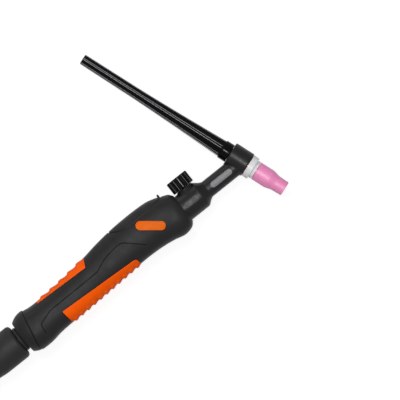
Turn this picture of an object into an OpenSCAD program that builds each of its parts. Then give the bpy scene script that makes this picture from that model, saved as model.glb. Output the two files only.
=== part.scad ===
// Gas-cooled TIG welding torch with a gas valve, a long back cap and a ball-jointed cable support.
// +X runs forward along the neck, +Y towards the back cap, +Z to the left side of the handle.
// The origin is the point where the electrode axis crosses the neck axis.
// Distances called "behind" run along -X from that point; distances along the electrode
// axis are positive towards the nozzle and negative towards the back cap.

/* [Head and neck] */
// Angle between the neck axis and the electrode axis
head_angle = 71.3; // [66:0.1:76]
// Outer diameter of the moulded head barrel
head_d = 20.9; // [19.5:0.1:24]
// Length of the head barrel on the back cap side
head_back = 11.4; // [10.8:0.1:14]
// Length of the head barrel on the nozzle side
head_front = 7; // [6.5:0.1:9]
// Diameter of the brass head core
core_d = 15.4; // [14.8:0.1:16.6]
// Outer diameter of the moulded neck
neck_d = 14.8; // [12.5:0.1:16]
// Outer diameter of the neck tube
tube_d = 7; // [6:0.1:7.6]
// Wall of the neck tube
tube_wall = 1.3; // [0.8:0.1:1.8]
// Where the neck starts to widen into the valve bulge
cone_start = 36.5; // [34:0.5:37]
// Where the valve bulge reaches its full diameter
cone_end = 43; // [41.5:0.1:43.5]
// Diameter of the valve bulge
bulge_d = 23.7; // [22:0.1:24.2]

/* [Back cap and nozzle] */
// Length of the back cap behind the head
cap_len = 143.4; // [100:0.2:160]
// Diameter of the cap's collar
cap_collar_d = 16; // [15:0.1:18]
// Length of the cap's collar
cap_collar_len = 7.3; // [5:0.1:9]
// Diameter at the thick end of the fluted body
cap_body_d = 14.7; // [13.6:0.1:15]
// Diameter of the cap's slim end
cap_tip_d = 9.1; // [8.2:0.1:10]
// Number of flutes along the cap
cap_flutes = 6; // [5:1:8]
// Depth of a flute
cap_flute_depth = 0.55; // [0.3:0.05:0.7]
// Diameter of the threads in both ends of the head core
thread_d = 9.6; // [9.2:0.1:10.2]
// Rise of the cap and nozzle threads in one turn
thread_pitch = 1.25; // [0.8:0.05:1.5]
// Diameter of the insulator ring
ring_d = 19.4; // [18:0.1:20.4]
// Thickness of the insulator ring's wide part
ring_len = 4.6; // [3.5:0.1:6]
// Diameter of the nozzle at its base
nozzle_d = 15.8; // [15:0.1:17.5]
// Outer diameter of the nozzle at its mouth
nozzle_tip_d = 12.3; // [11.6:0.1:13]
// Length of the nozzle
nozzle_len = 27.6; // [25.5:0.1:36]
// Bore of the nozzle at its mouth
nozzle_bore_d = 9.5; // [9.2:0.1:10]
// Bore of the collet, for the electrode
electrode_bore_d = 2.45; // [1.05:0.05:2.5]

/* [Gas valve] */
// Distance of the valve axis behind the electrode axis
valve_back = 50.6; // [50:0.1:51]
// Diameter of the valve knob
knob_d = 19.7; // [17:0.1:20]
// Height of the valve knob
knob_h = 10.5; // [9:0.1:12]
// Number of flutes round the knob
knob_flutes = 14; // [10:1:18]
// Diameter of the moulded boss under the knob
boss_d = 13.8; // [12.8:0.1:15]
// Height of the boss above the neck axis
boss_top = 12.3; // [12.1:0.1:13]
// Diameter of the valve spindle
spindle_d = 3.9; // [3.6:0.1:4.2]

/* [Handle] */
// Distance of the handle's front edge behind the electrode axis
handle_front = 61.5; // [60.5:0.5:66]
// Length of the handle shells along their middle
handle_len = 158.9; // [155:0.1:175]
// Wall of the handle shells
shell_wall = 2.4; // [2:0.1:2.8]
// Squareness of the handle's section, where 2 is an ellipse
section_power = 2.4; // [2.1:0.05:2.8]
// Slant of the seam in front of the rear collar, in degrees
seam_slant = 11.5; // [0:0.5:13]
// Thickness of the soft grips
grip_t = 2; // [1.6:0.1:2.4]
// Height of the ribs on the soft grips
rib_h = 1.1; // [0.5:0.1:1.2]
// Number of ribs on the upper grip
upper_ribs = 5; // [4:1:5]
// Spacing of the ribs on the upper grip
upper_pitch = 9.85; // [8:0.05:10]
// Number of ribs on the lower grip
lower_ribs = 11; // [9:1:11]
// Spacing of the ribs on the lower grip
lower_pitch = 6.6; // [6:0.05:6.8]
// Length of the name badge
badge_len = 25; // [20:0.5:26]
// Width of the name badge
badge_w = 7.8; // [6:0.1:9]

/* [Lever and switch] */
// Distance of the lever's front end behind the handle's front edge
lever_front = 8.8; // [8:0.1:10]
// Length of the lever
lever_len = 51.2; // [49:0.1:53]
// Width of the lever
lever_w = 27; // [25:0.1:27.4]
// Thickness of the lever's skin
lever_t = 3; // [2.6:0.1:3.4]
// Height of the lip at the lever's front end
lip_h = 2.4; // [1:0.1:3]
// Diameter of the lever's hinge pin
pin_d = 2; // [1.8:0.1:2.2]
// Length of the micro switch
switch_len = 12.8; // [12:0.1:13.4]
// Height of the micro switch
switch_h = 6.5; // [6:0.1:7]

/* [Knuckle and cable support] */
// Outer radius of the domed rear collar
dome_r = 18.05; // [17.6:0.05:18.2]
// Radius of the ball
ball_r = 13.05; // [12.8:0.05:13.2]
// Thickness of the ball's seat
seat_t = 1.05; // [0.9:0.05:1.2]
// Diameter of the ball's neck behind the collar
neck_ring_d = 22.4; // [21:0.1:22.6]
// Diameter of the cable support
support_d = 30.6; // [28:0.1:31]
// Length of the cable support
support_len = 40; // [36:1:60]
// Bore for the cable
cable_bore_d = 14; // [11:0.5:14]

/* [Clearances] */
// Radial clearance of turned pieces that slide or turn in each other
fit = 0.05; // [0.03:0.01:0.08]
// Gap between moulded pieces
seam = 0.15; // [0.1:0.01:0.2]
// Gap that stands for a moulded-in or bonded joint
bond = 0.02; // [0.01:0.01:0.05]

/* [Hidden] */

$fn = 64;
eps = 0.01;

// Head
core_r = core_d / 2;
tube_r = tube_d / 2;
tube_bore_r = tube_r - tube_wall;
thread_r = thread_d / 2;
seal_cord_r = 0.8;
core_back = head_back - 2 * seal_cord_r - 0.1;
cap_turns = 5;
cap_thread_end = core_back - cap_turns * thread_pitch;
cap_start = head_back + 0.1;
cap_end = head_back + cap_len;
cap_bore_r = 1.6;
cap_flute_w = 4.3;
cap_turn = -21.4;
cap_flare_len = 84;
passage_r = 3;
tube_front = core_r - 1.2;
valve_body_front = cone_end + 1;
valve_body_r = 6.5;
hex_r = 7;
nipple_r = 4.8;
nipple_len = 9;
hose_nut_r = 6.9;
hose_nut_len = 13;
hose_bore_r = 3.2;

// Nozzle side
ring_front = head_front + ring_len;
step_len = 2.6;
nozzle_back = ring_front + step_len + 0.2;
nozzle_front = nozzle_back + nozzle_len;
flange_r = 5.6;
nozzle_thread_r = 5.1;
nozzle_turns = 4;
nozzle_thread_end = nozzle_back + nozzle_turns * thread_pitch;
collet_r = 2.05;
collet_body_front = 28.8;
collet_front = collet_body_front - 0.6;
collet_back = -7;

// Valve
spindle_r = spindle_d / 2;
turret_r = 4.6;
nut_h = 2.2;
turret_top = boss_top - nut_h - 0.4;
knob_bottom = boss_top + 0.3;
knob_top = knob_bottom + knob_h;
o_ring_y = 7.4;
valve_cord_r = 0.5;
spindle_top = knob_top - 3.1;
spindle_tip = 1.6;
seat_bore_r = 0.35;
knob_turn = 3.6;
knob_screw_r = 1.2;

// Handle: every figure is a distance behind the origin, or a height from the neck axis
handle_end = handle_front + handle_len;
knuckle_back = handle_end - 1;
rear_drop = 1;
socket_r = ball_r + seat_t + 2 * fit;
spigot_r = socket_r + 1;
spigot_len = 6.7;
front_wall = 4;
cover_end = handle_front + 11;
hex_start = cover_end + 0.5;
stub_start = hex_start + 4.5;
cavity_front = handle_front + front_wall;
cavity_end = knuckle_back - 13;

// Sections of the handle: place behind the front edge, top, bottom, half width.
// The last four keep their distance from the rear end.
SECTIONS = [
    [0, 12.7, 13.1, 13.2], [2.5, 15.9, 16, 15.3], [6.5, 17.9, 17.8, 16.6],
    [12.5, 20.4, 18.3, 17], [20.5, 22.6, 16.4, 16.9], [30.5, 23.4, 14.9, 16.5],
    [44.5, 23.5, 14.1, 15.9], [58.5, 22.9, 14.3, 15.3], [74.5, 21.3, 14.8, 14.7],
    [90.5, 18.8, 15.5, 14.3], [106.5, 16.8, 16.1, 14.2],
    [handle_len - 34, 15.4, 16.7, 14.6], [handle_len - 18, 14.9, 17.5, 15.8],
    [handle_len - 8, 15.3, 18.9, 17], [handle_len, 16.7, 19.1, 17.7],
    [handle_len + 5, 16.7, 18.6, 17.5]];
LAST = len(SECTIONS) - 1;
STEPS = 2;
AROUND = 36;

// Grips, as outlines seen from the side: [distance behind the origin, height]
upper_front = handle_front + 89;
upper_end = handle_end - 15.7;
lower_front = handle_front + 54.9;
lower_end = handle_end - 29.2;
grip_reach = 26;
UPPER_OUTLINE = [[upper_front, grip_reach], [upper_front, 18.4], [upper_front + 3.4, 11.6],
    [upper_end - 2, 13.6], [upper_end, 15.2], [upper_end, grip_reach]];
LOWER_OUTLINE = [[lower_front + 3, -grip_reach], [lower_front, -14], [lower_front + 0.3, -10.6],
    [lower_front + 2.2, -8.8], [lower_end - 0.8, -5.6], [lower_end, -6.6],
    [lower_end - 2, -grip_reach]];

// Styling groove along each side: [distance behind the origin, height]
GROOVE = [[102.5, -5.5], [118.2, 9.2], [124, 9.4], [137.3, 7.5], [148.1, 2.8], [176, 2.3],
    [197, 2.3], [211, -1.8], [212, -10.8]];
groove_w = 0.9;
groove_depth = 0.5;
tooth_half = 8;
upper_first = upper_front + 8.1;
lower_first = lower_front + 5.2;

// Badge: level when the torch is held with its neck 38.6 degrees above the ground
hold_angle = 38.6;
badge_back = handle_front + 29.4;
badge_up = 5.2;
badge_t = 1;

// Lever
lever_start = handle_front + lever_front;
lever_end = lever_start + lever_len;
lever_mid = (lever_start + lever_end) / 2;
lever_power = 3;
lever_gap = 0.4;
lever_room = lever_t + 2.2;
lug_half = 4;
pivot_back = lever_end - 4.6;
pivot_up = 13.8;
pin_r = pin_d / 2;
lug_r = pin_r + 1.6;
pin_len = 16;
post_back = handle_front + 26.5;
switch_w = 5.8;
switch_up = 9.4;
switch_top = switch_up + switch_h;
button_r = 0.9;
button_top = switch_top + 1.3;

// Screws: [distance behind the origin, height], all driven from the right side
SCREWS = [[handle_front + 16.5, -11.6], [lever_end + 9, 15.2], [lever_end + 20, -4.2],
    [handle_end - 18.4, 9.6]];
screw_r = 1.4;
screw_head_r = 2.7;
screw_head_z = 8.4;
screw_head_h = 1.9;
screw_len = 16;

// Knuckle: polar angles are measured at the ball's centre from the axis that points rearwards
opening_angle = 55;
seat_angle = 62;
cone_angle = 43;
ball_cut_angle = 36;
neck_ring_r = neck_ring_d / 2;
ring_back = 13.9;
ring_end = knuckle_back + ring_back;
support_start = ring_end + 0.6;
support_end = support_start + support_len;
journal_r = 9;
clip_t = 1.2;
clip_depth = 0.9;
clip_start = support_start + 9.6;
journal_end = clip_start + clip_t + 1.4;
ball_bore_r = 6.5;

black_rubber = "#1c1c1d";
black_gloss = "#0c0c0d";
black_shell = "#2b2b2c";
orange_soft = "#f0640f";
brass = "#c9a24a";
copper = "#b8703e";
steel = "#b9bcc0";
white_ptfe = "#e6e6e8";
pink_alumina = "#e58bbd";

// ---------- frames ----------

// Local +Z along the electrode axis towards the nozzle
module along_electrode() {
    rotate([0, 0, -head_angle]) rotate([0, 90, 0]) children();
}

// Local +Z runs rearwards along the neck, local +Y stays up
module along_neck(drop = 0) {
    translate([0, -drop, 0]) rotate([0, -90, 0]) children();
}

// Local +Z up along the valve axis
module at_valve() {
    translate([-valve_back, 0, 0]) rotate([-90, 0, 0]) children();
}

// A cylinder between two places on the local Z axis
module rod(r, from, to) {
    translate([0, 0, min(from, to)]) cylinder(r = r, h = abs(to - from));
}

// A ring between two places on the local Z axis
module tube(r_out, r_in, from, to) {
    difference() {
        rod(r_out, from, to);
        rod(r_in, min(from, to) - eps, max(from, to) + eps);
    }
}

// Points of a circular arc, for rounded profiles
function arc(cx, cy, r, a0, a1, n = 5) =
    [for (i = [0:n]) let (a = a0 + (a1 - a0) * i / n) [cx + r * cos(a), cy + r * sin(a)]];

// ---------- handle form ----------

// Value of column c of the sections at a distance behind the front edge, on a smooth curve
function slope(c, i) =
    let (a = max(i - 1, 0), b = min(i + 1, LAST))
    (SECTIONS[b][c] - SECTIONS[a][c]) / (SECTIONS[b][0] - SECTIONS[a][0]);
function blend(v0, v1, m0, m1, t, h) =
    v0 * (1 + t * t * (2 * t - 3)) + v1 * t * t * (3 - 2 * t)
    + h * (m0 * t * (1 - t) * (1 - t) - m1 * t * t * (1 - t));
function interval(d, i = 0) = i >= LAST - 1 || d <= SECTIONS[i + 1][0] ? i : interval(d, i + 1);
function form(c, d) =
    let (i = interval(d), h = SECTIONS[i + 1][0] - SECTIONS[i][0], t = (d - SECTIONS[i][0]) / h)
    blend(SECTIONS[i][c], SECTIONS[i + 1][c], slope(c, i), slope(c, i + 1), t, h);
function top_of(back) = form(1, back - handle_front);
function bottom_of(back) = -form(2, back - handle_front);
function width_of(back) = form(3, back - handle_front);

// Height of the handle's upper surface at a distance behind the origin and a place across it
function skin(back, z) =
    let (t = top_of(back), b = bottom_of(back), w = width_of(back))
    (t + b) / 2 + (t - b) / 2 * pow(1 - pow(min(abs(z) / w, 1), section_power), 1 / section_power);

// One section of the handle as points, grown outwards by g
function bent(v) = sign(v) * pow(abs(v), 2 / section_power);
function section(back, g) =
    let (t = top_of(back) + g, b = bottom_of(back) - g, w = width_of(back) + g)
    [for (k = [0:AROUND - 1]) let (a = 360 * k / AROUND)
        [-back, (t + b) / 2 + (t - b) / 2 * bent(cos(a)), w * bent(sin(a))]];

// Places of the sections between two distances behind the origin
function stations(from, to, steps) =
    let (inner = [for (i = [0:LAST - 1]) for (k = [0:steps - 1])
        handle_front + SECTIONS[i][0] + (SECTIONS[i + 1][0] - SECTIONS[i][0]) * k / steps])
    concat([from], [for (s = inner) if (s > from + 0.5 && s < to - 0.5) s], [to]);

// A closed solid through rings of points
module loft(rings) {
    n = len(rings[0]);
    m = len(rings);
    points = [for (ring = rings) for (p = ring) p];
    sides = [for (i = [0:m - 2]) for (k = [0:n - 1]) let (l = (k + 1) % n)
        each [[i * n + k, i * n + l, (i + 1) * n + l], [i * n + k, (i + 1) * n + l, (i + 1) * n + k]]];
    front = [for (k = [n - 1:-1:0]) k];
    rear = [for (k = [0:n - 1]) (m - 1) * n + k];
    polyhedron(points, concat(sides, [front, rear]));
}

module handle_form(grow = 0, from = handle_front, to = handle_end + 5, steps = STEPS) {
    loft([for (s = stations(from, to, steps)) section(s, grow)]);
}

// A plate cut to a side-view outline that runs right through the handle
module through(outline, z0 = -30, z1 = 30) {
    translate([0, 0, z0]) linear_extrude(z1 - z0) polygon([for (p = outline) [-p[0], p[1]]]);
}

// Everything in front of the slanted rear seam, moved by a shift
module before_seam(shift = 0) {
    translate([-handle_end + shift, 0, 0]) rotate([0, 0, -seam_slant])
        translate([0, -60, -60]) cube([260, 120, 120]);
}

// Outline of the lever seen from above, grown outwards by g
module lever_outline(g) {
    a = lever_len / 2 + g;
    b = lever_w / 2 + g;
    polygon([for (k = [0:35]) let (t = 10 * k)
        [-lever_mid + a * sign(cos(t)) * pow(abs(cos(t)), 2 / lever_power),
            b * sign(sin(t)) * pow(abs(sin(t)), 2 / lever_power)]]);
}

// ---------- head and neck ----------

module head_cover() {
    barrel_r = head_d / 2;
    bulge_r = bulge_d / 2;
    edge = 1;
    groove_start = handle_front + 1.6;
    groove_end = groove_start + 1.6;
    color(black_rubber) difference() {
        union() {
            along_electrode() rotate_extrude() polygon(concat(
                [[0, -head_back]], arc(barrel_r - edge, edge - head_back, edge, -90, 0),
                arc(barrel_r - edge, head_front - edge, edge, 0, 90), [[0, head_front]]));
            along_neck() rotate_extrude() polygon(concat(
                [[0, 0], [neck_d / 2 + 1.6, 7], [neck_d / 2, 13], [neck_d / 2, cone_start]],
                arc(bulge_r - 2.5, cone_end + 1.6, 2.5, -32, 0),
                [[bulge_r, groove_start], [bulge_r - 1.8, groove_start],
                    [bulge_r - 1.8, groove_end], [bulge_r - 0.4, groove_end],
                    [bulge_r - 0.4, cover_end], [0, cover_end]]));
            at_valve() rod(boss_d / 2, 0, boss_top);
            intersection() {
                rotate([0, -90, 0]) rod(neck_d / 2 + 0.35, 8, cone_start);
                pad(13.8, 29.8, 2.1);
            }
            intersection() {
                rotate([0, -90, 0]) rod(bulge_r + 0.5, cone_end, handle_front - 1);
                pad(cone_end + 4.4, handle_front - 3.6, 3);
            }
        }
        along_electrode() rod(core_r + bond, -head_back - eps, head_front + eps);
        along_neck() {
            rod(tube_r + bond, 0, valve_body_front + eps);
            rod(valve_body_r + bond, valve_body_front, cover_end + eps);
        }
        at_valve() rod(turret_r + bond, 0, boss_top + eps);
    }
}

// A flat-ended capsule on the left side, between two distances behind the origin
module pad(from, to, r) {
    for (back = [from, to]) translate([-back, 0, 0]) cylinder(r = r, h = 20);
    translate([-to, -r, 0]) cube([to - from, 2 * r, 20]);
}

module head_core() {
    color(brass) difference() {
        along_electrode() rod(core_r, -core_back, head_front);
        along_electrode() {
            rod(thread_r + fit, -core_back - eps, -cap_thread_end + 0.6);
            rod(passage_r, -cap_thread_end, 0);
            rod(thread_r + fit, -0.5, head_front + eps);
        }
        along_neck() rod(tube_r + bond, tube_front, head_d);
        along_neck() rod(tube_bore_r, 0, head_d);
    }
}

module neck_tube() {
    color(brass) along_neck() tube(tube_r, tube_bore_r, tube_front + 0.02, valve_body_front + 4);
}

module valve_body() {
    color(brass) difference() {
        union() {
            along_neck() rod(valve_body_r, valve_body_front + 0.05, hex_start);
            along_neck() rotate(30) translate([0, 0, hex_start - eps])
                cylinder(r = hex_r, h = stub_start - hex_start + eps, $fn = 6);
            along_neck() rod(nipple_r, stub_start - eps, stub_start + nipple_len);
            at_valve() rod(turret_r, 0, turret_top);
        }
        along_neck() {
            rod(tube_r + bond, valve_body_front - 1, valve_body_front + 4.1);
            rod(tube_bore_r, valve_body_front, valve_back);
            translate([0, -2.4, 0]) rod(1.4, valve_back - 1, stub_start);
            rod(tube_bore_r, stub_start - 3, stub_start + nipple_len + 1);
        }
        at_valve() {
            rod(spindle_r + fit, 0.35, o_ring_y);
            translate([0, 0, -spindle_tip - 0.1])
                cylinder(r1 = seat_bore_r + fit, r2 = spindle_r + fit, h = spindle_tip + 0.5);
            rod(spindle_r + 2 * valve_cord_r + 0.1, o_ring_y - 0.6, turret_top + 1);
        }
    }
}

// Nut on the rear nipple, which holds the gas and power hose
module hose_nut() {
    color(brass) translate([-stub_start - 0.3, 0, 0]) rotate([0, -90, 0]) difference() {
        union() {
            cylinder(r = hose_nut_r, h = hose_nut_len - 5, $fn = 6);
            rod(hose_nut_r - 1.3, 0, hose_nut_len);
        }
        rod(nipple_r + bond, -eps, nipple_len + 0.2);
        rod(hose_bore_r, 0, hose_nut_len + eps);
    }
}

module gland_nut() {
    color(brass) at_valve() difference() {
        union() {
            translate([0, 0, turret_top + 0.02]) cylinder(r = turret_r, h = nut_h, $fn = 6);
            rod(spindle_r + 2 * valve_cord_r + 0.06, o_ring_y + 1.9, turret_top + 0.1);
        }
        rod(spindle_r + fit, 0, knob_top);
    }
}

module valve_spindle() {
    groove_r = spindle_r - 0.25;
    color(steel) at_valve() difference() {
        rotate_extrude() polygon([[0, -spindle_tip], [seat_bore_r, -spindle_tip], [spindle_r, 0.4],
            [spindle_r, o_ring_y - valve_cord_r - 0.1], [groove_r, o_ring_y - valve_cord_r - 0.1],
            [groove_r, o_ring_y + valve_cord_r + 0.1], [spindle_r, o_ring_y + valve_cord_r + 0.1],
            [spindle_r, spindle_top], [0, spindle_top]]);
        rod(knob_screw_r + fit, spindle_top - 5.5, spindle_top + eps);
    }
}

module valve_o_ring() {
    color("#161616") at_valve() translate([0, 0, o_ring_y])
        rotate_extrude() translate([spindle_r - 0.22 + valve_cord_r, 0]) circle(r = valve_cord_r);
}

module valve_knob() {
    r = knob_d / 2;
    edge = 0.5;
    flute_r = 1.45;
    color(black_gloss) at_valve() difference() {
        rotate_extrude() polygon([[0, knob_bottom], [r - edge, knob_bottom], [r, knob_bottom + edge],
            [r, knob_top - edge], [r - edge, knob_top], [0, knob_top]]);
        for (k = [0:knob_flutes - 1]) rotate(knob_turn + 360 / knob_flutes * k)
            translate([r + 0.6, 0, knob_bottom - 1]) cylinder(r = flute_r, h = knob_h + 2);
        rod(spindle_r + bond, knob_bottom - eps, spindle_top + 0.1);
        rod(knob_screw_r + 0.25, spindle_top, knob_top);
        rod(3, spindle_top + 0.9, knob_top + eps);
    }
}

module knob_screw() {
    color(steel) at_valve() difference() {
        union() {
            rod(knob_screw_r, spindle_top - 5, spindle_top + 1);
            rod(2.5, spindle_top + 0.95, knob_top - 0.6);
        }
        translate([-2, -0.3, knob_top - 1.2]) cube([4, 0.6, 1]);
    }
}

// ---------- electrode axis ----------

module collet_body() {
    color(brass) along_electrode() difference() {
        rotate_extrude() polygon([[0, -0.4], [thread_r, -0.4], [thread_r, head_front + 0.1],
            [flange_r, head_front + 0.1], [flange_r, nozzle_back - 0.6],
            [nozzle_thread_r, nozzle_back - 0.6], [nozzle_thread_r, nozzle_thread_end],
            [4, nozzle_thread_end + 0.6], [4, collet_body_front - 2.4], [2.7, collet_body_front],
            [0, collet_body_front]]);
        rod(collet_r + 0.1, -1, collet_body_front - 3);
        translate([0, 0, collet_body_front - 3 - eps])
            cylinder(r1 = collet_r + 0.1, r2 = 1.45, h = 3 + 2 * eps);
        for (k = [0:3]) rotate(90 * k) translate([0, 0, nozzle_back + 8.4])
            rotate([0, 90, 0]) cylinder(r = 0.75, h = 6);
    }
}

module collet() {
    slit = 0.35;
    color(copper) along_electrode() difference() {
        rotate_extrude() polygon([[electrode_bore_d / 2, collet_back], [collet_r, collet_back],
            [collet_r, collet_front - 2.8], [1.5, collet_front], [electrode_bore_d / 2, collet_front]]);
        for (k = [0:1]) rotate(45 + 90 * k)
            translate([-3, -slit / 2, collet_front - 13]) cube([6, slit, 14]);
    }
}

module insulator_ring() {
    color(white_ptfe) along_electrode() difference() {
        rotate_extrude() polygon([[flange_r + 0.3, head_front + 0.1], [ring_d / 2, head_front + 0.1],
            [ring_d / 2, ring_front - 0.5], [ring_d / 2 - 0.5, ring_front],
            [nozzle_d / 2 - 0.1, ring_front], [nozzle_d / 2 - 0.1, ring_front + step_len],
            [flange_r + 0.3, ring_front + step_len]]);
    }
}

module nozzle() {
    base_r = nozzle_d / 2;
    mouth_r = nozzle_tip_d / 2;
    bore_r = nozzle_bore_d / 2;
    waist = nozzle_back + 11.6;
    color(pink_alumina) along_electrode() rotate_extrude() polygon(concat(
        [[nozzle_thread_r + fit, nozzle_back], [base_r - 0.8, nozzle_back],
            [base_r, nozzle_back + 0.8], [base_r, waist - 1.5]],
        [for (i = [0:8]) let (t = i / 8, s = t * t * (3 - 2 * t))
            [base_r + (mouth_r + 0.3 - base_r) * s, waist + 7.6 * t]],
        [[mouth_r, nozzle_front - 0.8], [mouth_r - 0.5, nozzle_front - 0.2],
            [mouth_r - 0.7, nozzle_front], [bore_r, nozzle_front],
            [bore_r, waist + 7.6], [nozzle_thread_r + fit, waist + 4]]));
}

// Radius of the cap's fluted body at a distance from the origin: flared, then nearly straight
function cap_r(s) =
    let (t = min(1, (s - cap_start - cap_collar_len) / cap_flare_len),
        tip = cap_tip_d / 2, slim = tip + 0.3 * (cap_end - s) / 60)
    t >= 1 ? min(slim, tip + 0.3) : tip + 0.3 + (cap_body_d / 2 - tip - 0.3) * pow(1 - t, 1.35);

// One section of the fluted body: flutes of constant width between narrowing ridges
function fluted(s, r) =
    let (pitch = 360 / cap_flutes, half = min(asin(cap_flute_w / 2 / r), pitch / 2 - 1.5))
    [for (k = [0:cap_flutes - 1]) for (u = [-1, -0.6, -0.2, 0.2, 0.6, 1])
        let (a = cap_turn + pitch * k + half * u, q = r - cap_flute_depth * (1 - u * u))
        [q * cos(a), q * sin(a), -s]];

module back_cap() {
    collar_r = cap_collar_d / 2;
    flute_start = cap_start + cap_collar_len;
    color(black_gloss) along_electrode() difference() {
        union() {
            loft(concat([for (i = [0:12]) let (s = flute_start - 1 + (cap_end - flute_start) * i / 12)
                fluted(s, cap_r(max(s, flute_start)))], [fluted(cap_end, cap_r(cap_end) - 1)]));
            rotate_extrude() polygon(concat([[0, -cap_thread_end], [thread_r - 0.6, -cap_thread_end],
                [thread_r, -cap_thread_end - 0.6], [thread_r, -cap_start]],
                [[collar_r - 0.5, -cap_start], [collar_r, -cap_start - 0.5],
                    [collar_r, 0.5 - flute_start], [collar_r - 0.5, -flute_start], [0, -flute_start]]));
        }
        rod(collet_r + 0.1, -cap_thread_end + eps, collet_back - 0.1);
        rod(cap_bore_r, -cap_thread_end, 3 - cap_end);
    }
}

module cap_o_ring() {
    color("#161616") along_electrode()
        translate([0, 0, -core_back - seal_cord_r - 0.04]) rotate_extrude()
            translate([thread_r + seal_cord_r + 0.05, 0]) circle(r = seal_cord_r);
}

// ---------- handle ----------

// The hollow inside both shells
module shell_inside() {
    handle_form(-shell_wall, cavity_front, cavity_end, 1);
    along_neck() rod(bulge_d / 2 + seam, handle_front - 2, handle_front + 1.7);
    along_neck() rod(bulge_d / 2 - 1.8 + seam, handle_front, cavity_front + 1);
    along_neck() rod(bulge_d / 2 - 0.2, handle_front + 3.1, cavity_front + 6);
    along_neck(rear_drop) {
        rod(9.5, cavity_end - 1, knuckle_back);
        translate([0, 0, knuckle_back]) sphere(r = socket_r + 0.3, $fn = 36);
        rod(spigot_r + seam, knuckle_back - spigot_len - seam, handle_end + 12);
    }
}

// Recesses in the outside of both shells
module shell_recesses() {
    difference() {
        union() {
            through(UPPER_OUTLINE);
            through(LOWER_OUTLINE);
        }
        handle_form(-grip_t, handle_front, handle_end + 4);
    }
    difference() {
        for (i = [0:len(GROOVE) - 2]) hull() for (p = [GROOVE[i], GROOVE[i + 1]])
            translate([-p[0], p[1], -30]) cylinder(d = groove_w, h = 60, $fn = 8);
        handle_form(-groove_depth, handle_front, handle_end + 4);
    }
    difference() {
        translate([0, 8, 0]) rotate([-90, 0, 0]) mirror([0, 1, 0]) linear_extrude(30)
            lever_outline(lever_gap);
        translate([0, -lever_room, 0]) handle_form(0, lever_start - 4, lever_end + 4);
    }
}

// A tapered boss across the handle's inside, on the side z0 to z1
module boss(p, r, z0, z1) {
    hull() {
        translate([-p[0], p[1], z0]) cylinder(r = r, h = 1, $fn = 24);
        translate([-p[0], p[1], z1 - 1]) cylinder(r = r + 0.3, h = 1, $fn = 24);
    }
}

// Ribs and bosses of one shell before they are trimmed to the wall; the left side is +Z
module shell_frame() {
    for (p = SCREWS) boss(p, screw_r + 2, 0, 18);
    boss([pivot_back, pivot_up], pin_r + 1.8, lug_half + 0.3, 17);
    for (end = [-1, 1]) hull() {
        translate([-post_back + end * (switch_len / 2 + 0.9), switch_up - 1.6, 0])
            cylinder(r = 0.8, h = 17, $fn = 12);
        translate([-post_back + end * (switch_len / 2 + 0.9), switch_up + 3, 0])
            cylinder(r = 0.8, h = 17, $fn = 12);
    }
    hull() for (end = [-1, 1])
        translate([-post_back + end * (switch_len / 2 + 0.9), switch_up - 0.9, 1.6])
            cylinder(r = 0.8, h = 15.4, $fn = 12);
}

// One shell; side is 1 for the left one and -1 for the right one
module shell(side) {
    half = side > 0 ? 0 : -60;
    difference() {
        union() {
            difference() {
                intersection() {
                    handle_form();
                    translate([-400, -60, half]) cube([400, 120, 60]);
                }
                shell_inside();
            }
            intersection() {
                scale([1, 1, side]) shell_frame();
                handle_form(0.3 - shell_wall, cavity_front, cavity_end, 1);
            }
        }
        shell_recesses();
        rear_cut();
        for (p = SCREWS) translate([-p[0], p[1], 0]) {
            translate([0, 0, -screw_head_z]) cylinder(r = screw_r + seam, h = screw_len + 1, $fn = 24);
            translate([0, 0, -40]) cylinder(r = screw_head_r + seam, h = 40 - screw_head_z, $fn = 24);
        }
        translate([-pivot_back, pivot_up, -pin_len / 2 - 0.1])
            cylinder(r = pin_r + fit, h = pin_len + 0.2, $fn = 32);
        if (side > 0) badge_recess();
    }
}

module rear_cut() {
    difference() {
        translate([-handle_end - 40, -60, -60]) cube([80, 120, 120]);
        before_seam(seam);
    }
}

module badge_recess() {
    difference() {
        badge_prism(seam);
        handle_form(-badge_t, handle_front, handle_end);
    }
}

module badge_prism(g) {
    translate([-badge_back, badge_up, 4]) rotate([0, 0, -hold_angle]) hull()
        for (end = [-1, 1]) translate([end * (badge_len - badge_w) / 2, 0, 0])
            cylinder(r = badge_w / 2 + g, h = 20, $fn = 32);
}

module left_shell() {
    color(black_shell) shell(1, $fn = 36);
}

module right_shell() {
    color(black_shell) shell(-1, $fn = 36);
}

module shell_screws() {
    color(steel) for (p = SCREWS) translate([-p[0], p[1], -screw_head_z]) difference() {
        union() {
            translate([0, 0, 0.05]) cylinder(r = screw_r, h = screw_len);
            translate([0, 0, -screw_head_h]) cylinder(r = screw_head_r, h = screw_head_h);
            translate([0, 0, -0.1]) cylinder(r = screw_r, h = 0.2);
        }
        for (a = [0, 90]) rotate(a)
            translate([-1.6, -0.3, -screw_head_h - 0.1]) cube([3.2, 0.6, 1.1]);
    }
}

// One tooth over a grip: it rises slowly towards the rear and drops at its crest
module grip_tooth(back, pitch, lift) {
    root = -0.3;
    intersection() {
        loft([section(back - pitch * 0.7, root), section(back, rib_h),
            section(back + 0.3, rib_h), section(back + 0.9, root)]);
        translate([-back - 5, lift > 0 ? 5 : -30, -tooth_half]) cube([15, 25, 2 * tooth_half]);
    }
}

module grip(outline, first, count, pitch, lift) {
    difference() {
        intersection() {
            union() {
                handle_form(0, handle_front + 20, handle_end);
                for (i = [0:count - 1]) grip_tooth(first + pitch * i, pitch, lift);
            }
            through(outline);
            translate([-400, lift > 0 ? 0 : -60, -60]) cube([400, 60, 120]);
        }
        handle_form(seam - grip_t, handle_front + 18, handle_end + 2);
    }
}

// The same outline drawn in by the seam; mid is a place between its ends
function drawn_in(outline, mid) =
    [for (p = outline) [p[0] + (p[0] < mid ? seam : -seam),
        p[1] + (abs(p[1]) >= grip_reach ? 0 : p[1] > 0 ? seam : -seam)]];

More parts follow.
